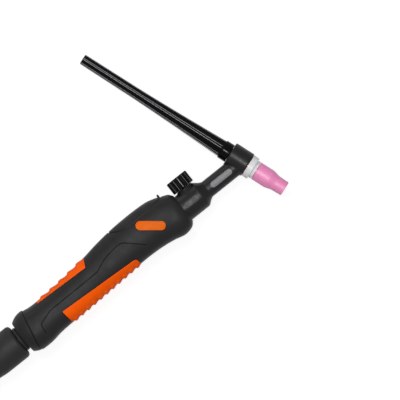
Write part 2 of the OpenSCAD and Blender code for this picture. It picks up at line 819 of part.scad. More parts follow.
module upper_grip() {
    color(orange_soft) grip(drawn_in(UPPER_OUTLINE, (upper_front + upper_end) / 2), upper_first,
        upper_ribs, upper_pitch, 1);
}

module lower_grip() {
    color(orange_soft) grip(drawn_in(LOWER_OUTLINE, (lower_front + lower_end) / 2), lower_first,
        lower_ribs, lower_pitch, -1);
}

module badge() {
    color(orange_soft) intersection() {
        badge_prism(0);
        difference() {
            handle_form(0.25, handle_front + 8, handle_front + 50);
            handle_form(0.1 - badge_t, handle_front + 6, handle_front + 52);
        }
    }
}

// ---------- lever and switch ----------

// The lever's skin follows the handle's upper surface over the lever's outline
module trigger_lever() {
    rows = 14;
    cols = 10;
    rings = [for (i = [0:rows]) let (u = -cos(180 * i / rows) * 0.995,
            back = lever_mid + u * lever_len / 2,
            half = lever_w / 2 * pow(1 - pow(abs(u), lever_power), 1 / lever_power))
        concat([for (k = [0:cols]) let (z = half * (2 * k / cols - 1)) [-back, skin(back, z), z]],
            [for (k = [cols:-1:0]) let (z = half * (2 * k / cols - 1))
                [-back, skin(back, z) - lever_t, z]])];
    lip_back = lever_start + 1;
    color(black_shell) difference() {
        union() {
            loft(rings);
            translate([-lip_back, skin(lip_back, 0) - 1.2, -4]) cylinder(r = 0.9, h = 8);
            translate([-lip_back - 0.9, skin(lip_back, 0) - 1.2, -4]) cube([1.8, lip_h + 0.3, 8]);
            translate([-lip_back, skin(lip_back, 0) + lip_h - 0.9, -4]) cylinder(r = 0.9, h = 8);
            translate([-post_back - 2, button_top + 0.05, -2])
                cube([4, skin(post_back, 0) - 1 - button_top, 4]);
            translate([-pivot_back, pivot_up, -lug_half]) cylinder(r = lug_r, h = 2 * lug_half);
            translate([-pivot_back - lug_r, pivot_up, -lug_half])
                cube([2 * lug_r, skin(pivot_back, 0) - 2 - pivot_up, 2 * lug_half]);
        }
        translate([-pivot_back, pivot_up, -lug_half - 1])
            cylinder(r = pin_r + fit, h = 2 * lug_half + 2);
    }
}

module lever_pin() {
    color(steel) translate([-pivot_back, pivot_up, -pin_len / 2]) cylinder(r = pin_r, h = pin_len);
}

module micro_switch() {
    color("#3a3b3f") translate([-post_back, 0, 0]) difference() {
        union() {
            translate([-switch_len / 2, switch_up, -switch_w / 2])
                cube([switch_len, switch_h, switch_w]);
            for (x = [-1, 0, 1]) translate([x * 5 - 0.25, switch_up - 3, -1])
                cube([0.5, 3.1, 2]);
        }
        translate([0, switch_top - 2, 0]) rotate([-90, 0, 0]) cylinder(r = button_r + 0.05, h = 3);
    }
}

module switch_plunger() {
    color("#c03028") translate([-post_back, switch_top - 0.4, 0]) rotate([-90, 0, 0])
        cylinder(r = button_r, h = button_top - switch_top + 0.4);
}

// ---------- knuckle and cable support ----------

// A ring of the sphere of radius r around the ball's centre, between two polar angles
module sphere_zone(r_out, r_in, a0, a1) {
    rotate_extrude() polygon(concat(arc(0, 0, r_out, 90 - a0, 90 - a1, 10),
        arc(0, 0, r_in, 90 - a1, 90 - a0, 10)));
}

module at_ball() {
    along_neck(rear_drop) translate([0, 0, knuckle_back]) children();
}

module rear_collar() {
    color(black_shell) difference() {
        union() {
            difference() {
                at_ball() sphere(r = dome_r);
                before_seam();
            }
            at_ball() rod(spigot_r, -spigot_len, 0.9 + dome_r * tan(seam_slant));
        }
        at_ball() {
            sphere(r = socket_r);
            rod(socket_r, -spigot_len - 1, 0);
            cylinder(r1 = 0, r2 = 2 * dome_r * tan(opening_angle), h = 2 * dome_r);
        }
    }
}

module ball_seat() {
    color("#d8d8d0") at_ball()
        sphere_zone(ball_r + seat_t + fit, ball_r + fit, seat_angle, 180 - seat_angle);
}

// The ball with its neck ring, and the journal that the cable support turns on
module knuckle_ball() {
    journal_back = journal_end - knuckle_back;
    groove_back = clip_start - knuckle_back;
    groove_r = journal_r - clip_depth;
    ball_front = -ball_r * sin(ball_cut_angle);
    color(black_rubber) at_ball() difference() {
        rotate_extrude() polygon(concat([[0, journal_back], [journal_r, journal_back],
            [journal_r, groove_back + clip_t], [groove_r, groove_back + clip_t],
            [groove_r, groove_back], [journal_r, groove_back], [journal_r, ring_back],
            [neck_ring_r, ring_back], [neck_ring_r, neck_ring_r / tan(cone_angle)]],
            arc(0, 0, ball_r, 90 - cone_angle, -ball_cut_angle, 14), [[0, ball_front]]));
        rod(ball_bore_r, -ball_r, journal_back + 1);
        translate([0, 0, ball_front - eps])
            cylinder(r1 = ball_bore_r + 2.6, r2 = ball_bore_r, h = 5);
    }
}

module swivel_clip() {
    color(steel) along_neck(rear_drop)
        tube(journal_r + 1.1, journal_r - clip_depth + fit, clip_start + fit, clip_start + clip_t - fit);
}

module cable_support() {
    r = support_d / 2;
    edge = 3;
    bore_r = cable_bore_d / 2;
    color(black_rubber) along_neck(rear_drop) rotate_extrude() polygon(concat(
        [[journal_r + fit, support_start], [r - edge, support_start]],
        arc(r - edge, support_start + edge, edge, -90, 0, 6),
        [[r, support_end - 16], [r - 0.8, support_end - 9]],
        arc(r - 4, support_end - 2.4, 2.4, 20, 90, 5),
        [[bore_r + 1, support_end], [bore_r, support_end - 1], [bore_r, journal_end + 6],
            [journal_r + 1.4, journal_end + 1], [journal_r + 1.4, clip_start],
            [journal_r + fit, clip_start]]));
}

head_cover();
head_core();
neck_tube();
valve_body();
hose_nut();
gland_nut();
valve_spindle();
valve_o_ring();
valve_knob();
knob_screw();
collet_body();
collet();
insulator_ring();
nozzle();
back_cap();
cap_o_ring();
left_shell();
right_shell();
shell_screws();
upper_grip();
lower_grip();
badge();
trigger_lever();
lever_pin();
micro_switch();
switch_plunger();
rear_collar();
ball_seat();
knuckle_ball();
swivel_clip();
cable_support();
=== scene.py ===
"""Looks of a gas-cooled TIG welding torch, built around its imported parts.

The row frame: +X runs forward along the neck, +Y towards the back cap, +Z to the torch's left
side. The origin is where the electrode axis crosses the neck axis. Sizes are written in
millimetres and turned to metres where a mesh is made.
"""
import math

import bmesh
import bpy
import numpy as np
from mathutils import Matrix, Vector


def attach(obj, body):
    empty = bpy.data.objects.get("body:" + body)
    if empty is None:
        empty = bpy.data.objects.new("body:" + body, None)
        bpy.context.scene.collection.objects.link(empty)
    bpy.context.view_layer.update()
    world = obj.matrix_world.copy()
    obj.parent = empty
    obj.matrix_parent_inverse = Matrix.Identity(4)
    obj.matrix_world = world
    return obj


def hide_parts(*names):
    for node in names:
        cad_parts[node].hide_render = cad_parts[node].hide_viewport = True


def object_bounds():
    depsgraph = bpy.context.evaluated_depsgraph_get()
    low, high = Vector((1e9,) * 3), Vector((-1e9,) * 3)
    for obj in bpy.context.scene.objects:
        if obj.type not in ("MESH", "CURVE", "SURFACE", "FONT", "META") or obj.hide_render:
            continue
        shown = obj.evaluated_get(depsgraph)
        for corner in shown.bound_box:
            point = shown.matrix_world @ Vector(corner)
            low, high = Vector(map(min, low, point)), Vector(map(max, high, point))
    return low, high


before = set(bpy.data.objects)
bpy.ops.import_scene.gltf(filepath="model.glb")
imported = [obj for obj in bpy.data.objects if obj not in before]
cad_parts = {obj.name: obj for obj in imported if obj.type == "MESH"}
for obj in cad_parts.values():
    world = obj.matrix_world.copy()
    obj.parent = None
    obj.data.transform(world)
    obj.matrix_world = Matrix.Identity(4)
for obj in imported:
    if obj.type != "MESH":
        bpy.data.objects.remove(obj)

bl_info = {
    "name": "TIG torch",
    "version": (1, 0, 0),
    "blender": (4, 5, 0),
    "location": "3D View > Sidebar > TIG torch",
    "description": "Shells, grips, cap, nozzle, knob and finishes of a TIG welding torch",
    "category": "Object",
}

MM = 0.001
CAD_BOX = [list(corner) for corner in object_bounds()]


# ---------- sizes that the pieces share, in millimetres ----------

HEAD_ANGLE = math.radians(71.3)      # between the neck axis and the electrode axis
HANDLE_FRONT = 61.5                  # everything "behind" is counted along -X from the origin
HANDLE_LEN = 158.9
HANDLE_END = HANDLE_FRONT + HANDLE_LEN
SEAM_SLOPE = math.tan(math.radians(11.5))
SECTION_POWER = 2.4
MIDDLE_UP = 2.0                      # rough height of the handle's middle line
BULGE_R = 11.85
NECK_R = 7.5
NECK_DROP = 0.4                      # the moulded cover hangs this far below the neck's axis
VALVE_BACK = 50.6
BALL_BACK = HANDLE_END - 1
BALL_DROP = 1.0
DOME_R = 18.05
CAP_COLLAR = (11.5, 18.8)            # the back cap's collar and tip, up the electrode axis
CAP_TIP = 154.8

# Place behind the handle's front edge, top, bottom and half width of the handle's sections
SECTIONS = np.array([
    [0, 12.7, 13.1, 13.2], [2.5, 15.9, 16, 15.3], [6.5, 17.9, 17.8, 16.6],
    [12.5, 20.4, 18.3, 17], [20.5, 22.6, 16.4, 16.9], [30.5, 23.4, 14.9, 16.5],
    [44.5, 23.5, 14.1, 15.9], [58.5, 22.9, 14.3, 15.3], [74.5, 21.3, 14.8, 14.7],
    [90.5, 18.8, 15.5, 14.3], [106.5, 16.8, 16.1, 14.2],
    [HANDLE_LEN - 34, 15.4, 16.7, 14.6], [HANDLE_LEN - 18, 14.9, 17.5, 15.8],
    [HANDLE_LEN - 8, 15.3, 18.9, 17], [HANDLE_LEN, 16.7, 19.1, 17.7],
    [HANDLE_LEN + 5, 16.7, 18.6, 17.5]])

# Lever outline, seen from above
LEVER_START = HANDLE_FRONT + 8.8
LEVER_LEN = 51.2
LEVER_MID = LEVER_START + LEVER_LEN / 2
LEVER_HALF_W = 13.5
LEVER_POWER = 3.0

# Soft grips: front and rear edges as [height, place behind], and the long edge as
# [place behind, height]
UPPER_FRONT = HANDLE_FRONT + 89
UPPER_END = HANDLE_END - 15.7
UPPER_EDGE = [[UPPER_FRONT + 3.4, 11.4], [UPPER_END - 2, 13.1]]
UPPER_ENDS = ([[11.4, UPPER_FRONT + 3.4], [18.4, UPPER_FRONT]],
              [[13.1, UPPER_END - 2], [15.2, UPPER_END]])
LOWER_FRONT = HANDLE_FRONT + 54.9
LOWER_END = HANDLE_END - 29.2
LOWER_EDGE = [[LOWER_FRONT + 2.2, -8.3], [LOWER_END - 0.8, -4.5]]
LOWER_ENDS = ([[-26, LOWER_FRONT + 3], [-14, LOWER_FRONT], [-9.9, LOWER_FRONT + 0.3],
               [-8.3, LOWER_FRONT + 2.2]],
              [[-26, LOWER_END - 2], [-5.5, LOWER_END], [-4.5, LOWER_END - 0.8]])

# Styling groove on each side, and the name badge on the left side
GROOVE = [[102.5, -5.5], [118.2, 9.2], [124, 9.4], [137.3, 7.5], [148.1, 2.8], [176, 2.3],
          [197, 2.3], [211, -1.8], [212, -10.8]]
BADGE_BACK = HANDLE_FRONT + 29.4
BADGE_UP = 5.2
BADGE_LEN = 25.0
BADGE_W = 7.8
BADGE_TURN = math.radians(-38.6)

# Screws driven from the right side, as [place behind, height], the seat of their heads away
# from the middle plane, and the radius of their holes
SCREWS = [[HANDLE_FRONT + 16.5, -11.6], [LEVER_START + LEVER_LEN + 9, 15.2],
          [LEVER_START + LEVER_LEN + 20, -4.2], [HANDLE_END - 18.4, 9.6]]
SCREW_SEAT = 8.4
SCREW_HOLE_R = 2.8


# ---------- colours and settings ----------

def linear(hex_colour):
    """An sRGB hex colour as linear red, green and blue."""
    values = [int(hex_colour[i:i + 2], 16) / 255 for i in (1, 3, 5)]
    return tuple(v / 12.92 if v <= 0.04045 else ((v + 0.055) / 1.055) ** 2.4 for v in values)


def colour_property(name, description, hex_colour):
    """A colour that the panel shows, from an sRGB hex value."""
    return bpy.props.FloatVectorProperty(
        name=name, description=description, subtype="COLOR", size=3, min=0, max=1,
        default=linear(hex_colour))


def length_property(name, description, millimetres, low, high):
    """A length that the panel shows, from sizes in millimetres."""
    return bpy.props.FloatProperty(
        name=name, description=description, default=millimetres * MM, min=low * MM,
        max=high * MM, subtype="DISTANCE", unit="LENGTH", precision=5)


def power_property(name, description, watts):
    """A lamp's power that the panel shows."""
    return bpy.props.FloatProperty(name=name, description=description, default=watts, min=0,
                                   unit="POWER")


class TorchShapeSettings(bpy.types.PropertyGroup):
    """Sizes that belong to the looks alone."""
    grid_step: length_property("Mesh step", "Spacing of points on the handle", 0.45, 0.2, 2)
    groove_width: length_property("Groove width", "Width of the styling groove", 0.95, 0.4, 2)
    seam_gap: length_property("Seam gap", "Gap round inset pieces", 0.3, 0.1, 0.6)
    rib_height: length_property("Rib height", "Height of the grips' ribs", 1.05, 0, 1.2)
    badge_lift: length_property("Badge lift", "How far the badge stands proud", 0.2, 0, 0.25)


class TorchFinishSettings(bpy.types.PropertyGroup):
    """Colours of the finishes."""
    nylon: colour_property("Nylon", "Handle shells and lever", "#202021")
    phenolic: colour_property("Phenolic", "Back cap and knob", "#050506")
    neck_rubber: colour_property("Neck cover", "Moulded cover of head and neck", "#0c0c0e")
    elastomer: colour_property("Elastomer", "Soft grips", "#ff5c05")
    badge: colour_property("Badge", "Name badge, left bare", "#e46608")
    alumina: colour_property("Alumina", "Gas nozzle", "#e684b6")
    ptfe: colour_property("PTFE", "Insulator ring", "#dfdfe1")
    support: colour_property("Support rubber", "Cable support", "#252526")
    strip: colour_property("Strip", "Raised strip on the neck", "#707073")


class TorchStageSettings(bpy.types.PropertyGroup):
    """Camera, floor and lamps."""
    frame_width: length_property("Frame width", "Width that the camera sees", 328, 100, 2000)
    camera_height: length_property("Camera height", "Height over the torch", 2400, 500, 9000)
    roll: bpy.props.FloatProperty(
        name="Roll", description="Turn of the neck above the picture's level line",
        default=math.radians(38.6), subtype="ANGLE", unit="ROTATION")
    key_power: power_property("Key lamp", "Power of the soft lamp over the upper left", 4.5)
    rim_power: power_property("Rim lamp", "Power of the low lamp at the upper left", 2.5)
    top_power: power_property("Top lamp", "Power of the lamp overhead", 50)
    world_level: bpy.props.FloatProperty(
        name="World level", description="Brightness of the surroundings", default=0.17, min=0)


# ---------- node helpers ----------

def add_node(tree, kind, links=None, inputs=None, **settings):
    """Adds one node, sets its settings and input values and links its inputs."""
    node = tree.nodes.new(kind)
    for name, value in settings.items():
        setattr(node, name, value)
    for name, value in (inputs or {}).items():
        node.inputs[name].default_value = value
    for name, socket in (links or {}).items():
        tree.links.new(socket, node.inputs[name])
    return node


def soft_spots(tree, size_mm, detail, low=None, high=None):
    """A pattern in the object's own space whose spots are about size_mm across: the bare
    noise, or with low and high the values between which most of it then lies."""
    own_space = add_node(tree, "ShaderNodeTexCoord").outputs["Object"]
    spots = add_node(tree, "ShaderNodeTexNoise", links={"Vector": own_space},
                     inputs={"Scale": 1 / (size_mm * MM), "Detail": detail}).outputs["Fac"]
    if low is None:
        return spots
    usual_low, usual_high = 0.3, 0.7
    return add_node(tree, "ShaderNodeMapRange", links={"Value": spots},
                    inputs={"From Min": usual_low, "From Max": usual_high, "To Min": low,
                            "To Max": high}).outputs["Result"]


def show_mark(tree, below, name, hex_colour, size_mm):
    """Blends a colour over another, in uneven patches, where the mesh carries a mark; it paints
    shade and highlights into the colour.
    """
    carried = add_node(tree, "ShaderNodeAttribute", attribute_name=name).outputs["Fac"]
    share = add_node(tree, "ShaderNodeMath", operation="MULTIPLY", use_clamp=True,
                     links={0: carried, 1: soft_spots(tree, size_mm, 3, 0.65, 1)})
    return add_node(tree, "ShaderNodeMix", data_type="RGBA",
                    links={"Factor": share.outputs[0], "A": below},
                    inputs={"B": (*linear(hex_colour), 1)}).outputs["Result"]


# ---------- materials ----------

MATERIALS = {}


def made_of(name, colour, tones, roughness, grain, painted_light=None, matt=0.0, metallic=0.0, ior=1.5,
            level=0.5):
    """Makes a material from the sizes of its patterns, each with a spot size in millimetres.

    tones is size, detail, darkest and lightest share of the colour; roughness is one value, or
    size, detail, least and most; grain is size, detail and depth in millimetres; painted light is
    the mark that carries painted shade or a painted highlight, its colour and the size of its
    patches; matt is how much rougher the mark of that name makes the surface."""
    MATERIALS[name] = bpy.data.materials.new(name)
    MATERIALS[name].use_nodes = True
    tree = MATERIALS[name].node_tree
    shader = tree.nodes["Principled BSDF"]
    even = roughness if isinstance(roughness, float) else sum(roughness[2:]) / 2
    values = {"Base Color": (*colour, 1), "Roughness": even, "Metallic": metallic}
    if not metallic:
        values.update({"IOR": ior, "Specular IOR Level": level})
    for socket, value in values.items():
        shader.inputs[socket].default_value = value
    size, detail, dark, light = tones
    face = add_node(tree, "ShaderNodeMix", data_type="RGBA",
                    links={"Factor": soft_spots(tree, size, detail, 0, 1)},
                    inputs={"A": (*[c * dark for c in colour], 1),
                            "B": (*[min(1, c * light) for c in colour], 1)}).outputs["Result"]
    if painted_light:
        face = show_mark(tree, face, *painted_light)
    tree.links.new(face, shader.inputs["Base Color"])
    if even != roughness:
        size, detail, low, high = roughness
        rough = soft_spots(tree, size, detail, low, high)
        if matt:
            carried = add_node(tree, "ShaderNodeAttribute", attribute_name="matt").outputs["Fac"]
            rough = add_node(tree, "ShaderNodeMath", operation="MULTIPLY_ADD", inputs={1: matt},
                             links={0: carried, 2: rough}).outputs[0]
        tree.links.new(rough, shader.inputs["Roughness"])
    size, detail, depth = grain
    relief = add_node(tree, "ShaderNodeBump", links={"Height": soft_spots(tree, size, detail)},
                      inputs={"Distance": depth * MM, "Strength": 1.0})
    tree.links.new(relief.outputs["Normal"], shader.inputs["Normal"])


def make_materials(colours):
    """Makes every finish, named for the real material and how its surface was made. Grain
    that is really finer than 0.3 mm is drawn at 0.3 to 0.6 mm, so that it shows."""
    # Glass-filled nylon 6 from a spark-eroded mould: a fine even grain that breaks the lamp's
    # reflection into a soft satin sheen, faint paler patches from handling, and painted shade: a
    # near-black colour in the seams, the groove and round the inset pieces. The real grain is near
    # 0.1 mm.
    made_of("moulded_nylon", colours.nylon, tones=(14, 2, 0.9, 1.12),
            roughness=(9, 3, 0.43, 0.54), grain=(0.45, 1, 0.035),
            painted_light=("painted_shade", "#0a0a0a", 2), ior=1.53, level=0.11)
    # Phenolic resin pressed in a polished mould: a deep black with crisp lamp lines over flow
    # ripples a few microns deep, painted highlights of pale grey along the edges of the ridges,
    # and matt flutes in the knob
    made_of("polished_phenolic", colours.phenolic, tones=(5, 2, 0.85, 1.2),
            roughness=(3.5, 4, 0.12, 0.19), grain=(2.2, 1, 0.005),
            painted_light=("painted_highlight", "#a2a2a6", 1.5), matt=0.4, ior=1.58, level=0.045)
    # Silicone rubber moulded over the brass: matt black that catches a broad soft light
    made_of("moulded_silicone", colours.neck_rubber, tones=(7, 2, 0.88, 1.18),
            roughness=(4, 3, 0.35, 0.43), grain=(0.6, 2, 0.02), ior=1.43, level=0.26)
    # Thermoplastic elastomer moulded over the shells: saturated colour, a rubbery sheen and a
    # slight unevenness where hands polish it
    made_of("soft_elastomer", colours.elastomer, tones=(11, 2, 0.95, 1.08),
            roughness=(5, 3, 0.42, 0.58), grain=(0.5, 1, 0.03), level=0.06)
    # Satin ABS of the badge: a smooth flat face, bare of any lettering
    made_of("badge_plastic", colours.badge, tones=(4, 2, 0.95, 1.06), roughness=0.45,
            grain=(0.5, 1, 0.01), ior=1.54, level=0.06)
    # Alumina ceramic, pressed and fired without glaze: chalky pink with fine specks. The
    # pressed grain is really near 0.1 mm.
    made_of("fired_alumina", colours.alumina, tones=(3, 4, 0.94, 1.05),
            roughness=(1.2, 3, 0.42, 0.56), grain=(0.4, 2, 0.02), ior=1.76)
    # PTFE turned on a lathe: waxy white that shows a faint unevenness of the cut
    made_of("turned_ptfe", colours.ptfe, tones=(3, 3, 0.92, 1.04), roughness=0.38,
            grain=(0.5, 1, 0.015), ior=1.35)
    # EPDM rubber of the knuckle and the cable support: matt, a shade warmer than the nylon
    made_of("moulded_epdm", colours.support, tones=(10, 2, 0.9, 1.12),
            roughness=(6, 3, 0.48, 0.6), grain=(0.5, 2, 0.03), ior=1.52, level=0.14)
    # Paint wiped over the raised strip on the neck: flat grey, rubbed thin in places, with painted
    # shade in a dark rim round its edge
    made_of("strip_print", colours.strip, tones=(1.1, 3, 0.62, 1.15), roughness=0.5,
            grain=(0.8, 2, 0.04), painted_light=("painted_shade", "#0c0c0e", 1))
    # Brass turned from bar: warm metal, dulled a little by handling
    made_of("turned_brass", linear("#d0a94f"), tones=(2.5, 4, 0.72, 1.05),
            roughness=(1.5, 3, 0.24, 0.42), grain=(0.4, 1, 0.008), metallic=1)
    # Copper tube, slit and turned: redder than the brass, with a heat-stained tone
    made_of("drawn_copper", linear("#c47c52"), tones=(2, 4, 0.6, 1.05), roughness=0.34,
            grain=(0.4, 1, 0.008), metallic=1)
    # Steel fasteners with bright zinc: grey metal with a cloudy plated film
    made_of("zinc_steel", linear("#b6babf"), tones=(1.4, 4, 0.75, 1.05),
            roughness=(1.0, 3, 0.22, 0.42), grain=(0.35, 1, 0.006), metallic=1)
    # Moulded nitrile of the O-rings: dull black with a trace of grease
    made_of("nitrile_rubber", linear("#141415"), tones=(1.5, 2, 0.8, 1.3), roughness=0.45,
            grain=(0.3, 1, 0.01), ior=1.52)
    # Acetal and polyester mouldings of small inner pieces: smooth, faintly waxy
    for name, hex_colour in (("seat_acetal", "#d8d8d0"), ("grey_polyester", "#38393c"),
                             ("red_acetal", "#b8281c")):
        made_of(name, linear(hex_colour), tones=(2.5, 2, 0.9, 1.06), roughness=0.38,
                grain=(0.4, 1, 0.01), ior=1.48)


def material(name):
    """The material of that name; the first call makes them all from the scene's colours."""
    if not MATERIALS:
        make_materials(bpy.context.scene.torch_finish)
    return MATERIALS[name]


# ---------- mesh helpers ----------

def full_turn(count):
    """Angles of evenly spaced points round a circle."""
    return np.linspace(0, 2 * np.pi, count, endpoint=False)


def unit(vectors):
    """Vectors of the same direction and length 1."""
    return vectors / (np.linalg.norm(vectors, axis=-1, keepdims=True) + 1e-12)


def grid_quads(rows, cols, close_rows=False, close_cols=False):
    """Corner numbers of the quads of a grid of points stored row by row."""
    i = np.arange(rows if close_rows else rows - 1)
    j = np.arange(cols if close_cols else cols - 1)
    i, j = np.meshgrid(i, j, indexing="ij")
    i2, j2 = (i + 1) % rows, (j + 1) % cols
    return np.stack([i * cols + j, i * cols + j2, i2 * cols + j2, i2 * cols + j], -1)


def tube_faces(rows, count, closed=False):
    """Faces of rings of points in a row; closed joins the last ring to the first."""
    return grid_quads(rows, count, closed, True).reshape(-1, 4)


def add_object(name, data):
    """A new object in the scene's collection."""
    added = bpy.data.objects.new(name, data)
    bpy.context.scene.collection.objects.link(added)
    return added


def mesh_object(name, points_mm, faces, join_mm, marks=None):
    """A mesh without doubled or loose points, whose faces look outwards.

    Marks name a value from 0 to 1 for each point, which the finish shows as painted shade, a
    painted highlight or a rougher surface."""
    mesh = bpy.data.meshes.new(name)
    mesh.from_pydata((points_mm.reshape(-1, 3) * MM).tolist(), [], faces.tolist())
    for mark_name, values in (marks or {}).items():
        carried = mesh.attributes.new(mark_name, "FLOAT", "POINT")
        carried.data.foreach_set("value", np.asarray(values, np.float32).ravel())
    work = bmesh.new()
    work.from_mesh(mesh)
    bmesh.ops.remove_doubles(work, verts=work.verts, dist=join_mm * MM)
    loose = [v for v in work.verts if not v.link_faces]
    bmesh.ops.delete(work, geom=loose, context="VERTS")
    bmesh.ops.recalc_face_normals(work, faces=work.faces)
    work.to_mesh(mesh)
    work.free()
    return add_object(name, mesh)


def make_piece(name, points_mm, faces, finish, body, replaced=(), sharp=35, marks=None):
    """A smooth-shaded closed mesh that rides on a body and stands for CAD nodes."""
    piece = mesh_object(name, points_mm, faces, 0.002, marks)
    return dress(piece, finish, body, replaced, sharp)


def dress(piece, finish, body, replaced=(), sharp=35):
    """Gives a piece its finish, shading, body and the CAD nodes it stands for."""
    piece.data.materials.clear()
    piece.data.materials.append(material(finish))
    shade(piece, sharp)
    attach(piece, body)
    if replaced:
        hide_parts(*replaced)
    return piece


def shade(piece, sharp):
    """Smooth shading with sharp edges above an angle in degrees."""
    piece.data.polygons.foreach_set("use_smooth", [True] * len(piece.data.polygons))
    piece.data.set_sharp_from_angle(angle=math.radians(sharp))


def rounded(corners, steps=5):
    """A profile whose corners [along, radius, fillet] are rounded by their fillets."""
    corners = [list(c) + [0] * (3 - len(c)) for c in corners]
    points = []
    for k, (s, r, fillet) in enumerate(corners):
        here = np.array([s, r], float)
        if fillet <= 0 or k in (0, len(corners) - 1):
            points.append(here)
            continue
        a = here + unit(np.array(corners[k - 1][:2]) - here) * fillet
        b = here + unit(np.array(corners[k + 1][:2]) - here) * fillet
        for t in np.linspace(0, 1, steps + 1):
            points.append(a * (1 - t) ** 2 + here * 2 * t * (1 - t) + b * t * t)
    return np.array(points)


def axis_frame(origin, along, across):
    """Origin, direction along an axis and two directions across it, the first near across."""
    along = unit(np.array(along, float))
    first = unit(np.array(across, float) - along * np.dot(across, along))
    return np.array(origin, float), along, first, np.cross(along, first)


ELECTRODE = axis_frame([0, 0, 0], [math.cos(HEAD_ANGLE), -math.sin(HEAD_ANGLE), 0], [0, 0, 1])
NECK = axis_frame([0, -NECK_DROP, 0], [-1, 0, 0], [0, 0, 1])
VALVE = axis_frame([-VALVE_BACK, 0, 0], [0, 1, 0], [0, 0, 1])
BALL = axis_frame([-BALL_BACK, -BALL_DROP, 0], [-1, 0, 0], [0, 0, 1])


def turned_grid(profile, count):
    """Place along the axis, radius and angle at each point of a profile that is turned."""
    ones = np.ones((len(profile), count))
    return profile[:, :1] * ones, profile[:, 1:2] * ones, full_turn(count) * ones


def revolve(axes, profile, count, radius=None):
    """Points of a profile [along, radius] turned about an axis; radius may change it.

    Angles run from the first direction across the axis towards the second."""
    origin, along, first, second = axes
    s, r, angle = turned_grid(profile, count)
    if radius:
        r = radius(s, r, angle)
    return (origin + s[..., None] * along + (r * np.cos(angle))[..., None] * first
            + (r * np.sin(angle))[..., None] * second)


def lathe(name, axes, profile, finish, body, replaced=(), count=128, closed=False,
          radius=None, sharp=35, marks=None):
    """A turned piece. A closed profile goes round a bore; an open one ends on the axis.

    Radius and marks are functions of the place along the axis, the radius and the angle."""
    values = {mark_name: value(*turned_grid(profile, count))
              for mark_name, value in (marks or {}).items()}
    return make_piece(name, revolve(axes, profile, count, radius),
                      tube_faces(len(profile), count, closed), finish, body, replaced,
                      sharp, values)


def smooth_step(value, low, high):
    """0 below low, 1 above high and a smooth rise between them."""
    t = np.clip((value - low) / (high - low), 0, 1)
    return t * t * (3 - 2 * t)


# ---------- the handle's form ----------

def section_sizes(back):
    """Height of the middle, half height and half width of the handle's section at places
    behind the origin, on a smooth curve through the measured sections."""
    d = np.clip(np.asarray(back, float) - HANDLE_FRONT, 0, SECTIONS[-1, 0])
    last = len(SECTIONS) - 1
    i = np.clip(np.searchsorted(SECTIONS[:, 0], d, side="left") - 1, 0, last - 1)
    slopes = np.array([
        (SECTIONS[min(k + 1, last)] - SECTIONS[max(k - 1, 0)])[1:]
        / (SECTIONS[min(k + 1, last), 0] - SECTIONS[max(k - 1, 0), 0]) for k in range(last + 1)])
    h = (SECTIONS[i + 1, 0] - SECTIONS[i, 0])[..., None]
    t = (d[..., None] - SECTIONS[i, 0][..., None]) / h
    v0, v1 = SECTIONS[i][..., 1:], SECTIONS[i + 1][..., 1:]
    m0, m1 = slopes[i], slopes[i + 1]
    value = (v0 * (1 + t * t * (2 * t - 3)) + v1 * t * t * (3 - 2 * t)
             + h * (m0 * t * (1 - t) ** 2 - m1 * t * t * (1 - t)))
    top, bottom, half_width = np.moveaxis(value, -1, 0)
    return (top - bottom) / 2, (top + bottom) / 2, half_width


def bent(value, power=SECTION_POWER):
    """A sine or cosine, bent so that the circle it draws becomes a fuller oval."""
    return np.sign(value) * np.abs(value) ** (2 / power)


def left_over(share):
    """How far the oval still reaches one way, at a share of its reach the other way."""
    share = np.clip(np.abs(share), 0, 1)
    return (1 - share ** SECTION_POWER) ** (1 / SECTION_POWER)


def handle_point(back, angle):
    """Point of the handle's surface; the angle runs from the top over the left side."""
    middle, half_height, half_width = section_sizes(back)
    y = middle + half_height * bent(np.cos(angle))
    return np.stack([-back, y, half_width * bent(np.sin(angle))], -1)


def angle_at(back, height):
    """Angle at which the handle's section has a height, on the left side."""
    middle, half_height, _ = section_sizes(back)
    share = np.clip((height - middle) / half_height, -1, 1)
    return np.arccos(np.clip(np.sign(share) * np.abs(share) ** (SECTION_POWER / 2), -1, 1))


def side_z(back, height):
    """How far the handle's side stands from its middle plane, at a place and a height."""
    middle, half_height, half_width = section_sizes(back)
    return half_width * left_over((height - middle) / half_height)


def top_height(back, z):
    """Height of the handle's upper surface."""
    middle, half_height, half_width = section_sizes(back)
    return middle + half_height * left_over(z / half_width)


def seam_place(height, gap):
    """Place of the slanted rear seam at a height."""
    return HANDLE_END - height * SEAM_SLOPE - gap


def normals_of(points, wrap_cols):
    """Unit normals of a grid of points, from its neighbours."""
    along = np.gradient(points, axis=0)
    if wrap_cols:
        around = np.roll(points, -1, 1) - np.roll(points, 1, 1)
    else:
        around = np.gradient(points, axis=1)
    return unit(np.cross(along, around))


def outward(points, normals):
    """Turns normals so that they point away from the handle's middle line."""
    radial = points - np.array([0, MIDDLE_UP, 0])
    radial[..., 0] = 0
    sign = np.sign(np.sum(normals * radial, -1, keepdims=True))
    sign[sign == 0] = 1
    return normals * sign


def distance_to_outline(x, y, outline):
    """Signed distance to a closed outline of points, negative inside."""
    outline = np.asarray(outline, float)
    best = np.full(x.shape, 1e9)
    inside = np.zeros(x.shape, bool)
    for (ax, ay), (bx, by) in zip(outline, np.roll(outline, -1, 0)):
        ex, ey = bx - ax, by - ay
        t = np.clip(((x - ax) * ex + (y - ay) * ey) / (ex * ex + ey * ey), 0, 1)
        best = np.minimum(best, np.hypot(x - ax - t * ex, y - ay - t * ey))
        crosses = (ay > y) != (by > y)
        with np.errstate(divide="ignore", invalid="ignore"):
            inside ^= crosses & (x < (bx - ax) * (y - ay) / (by - ay + 1e-12) + ax)
    return np.where(inside, -best, best)


def rounded_line(line, cut):
    """The line with its corners cut twice, which rounds them."""
    line = np.asarray(line, float)
    for share in (cut, cut / 2):
        points = [line[0]]
        for here, *beside in zip(line[1:-1], line[:-2], line[2:]):
            points += [here + (point - here) * min(0.4, share / np.linalg.norm(point - here))
                       for point in beside]
        line = np.array(points + [line[-1]])
    return line


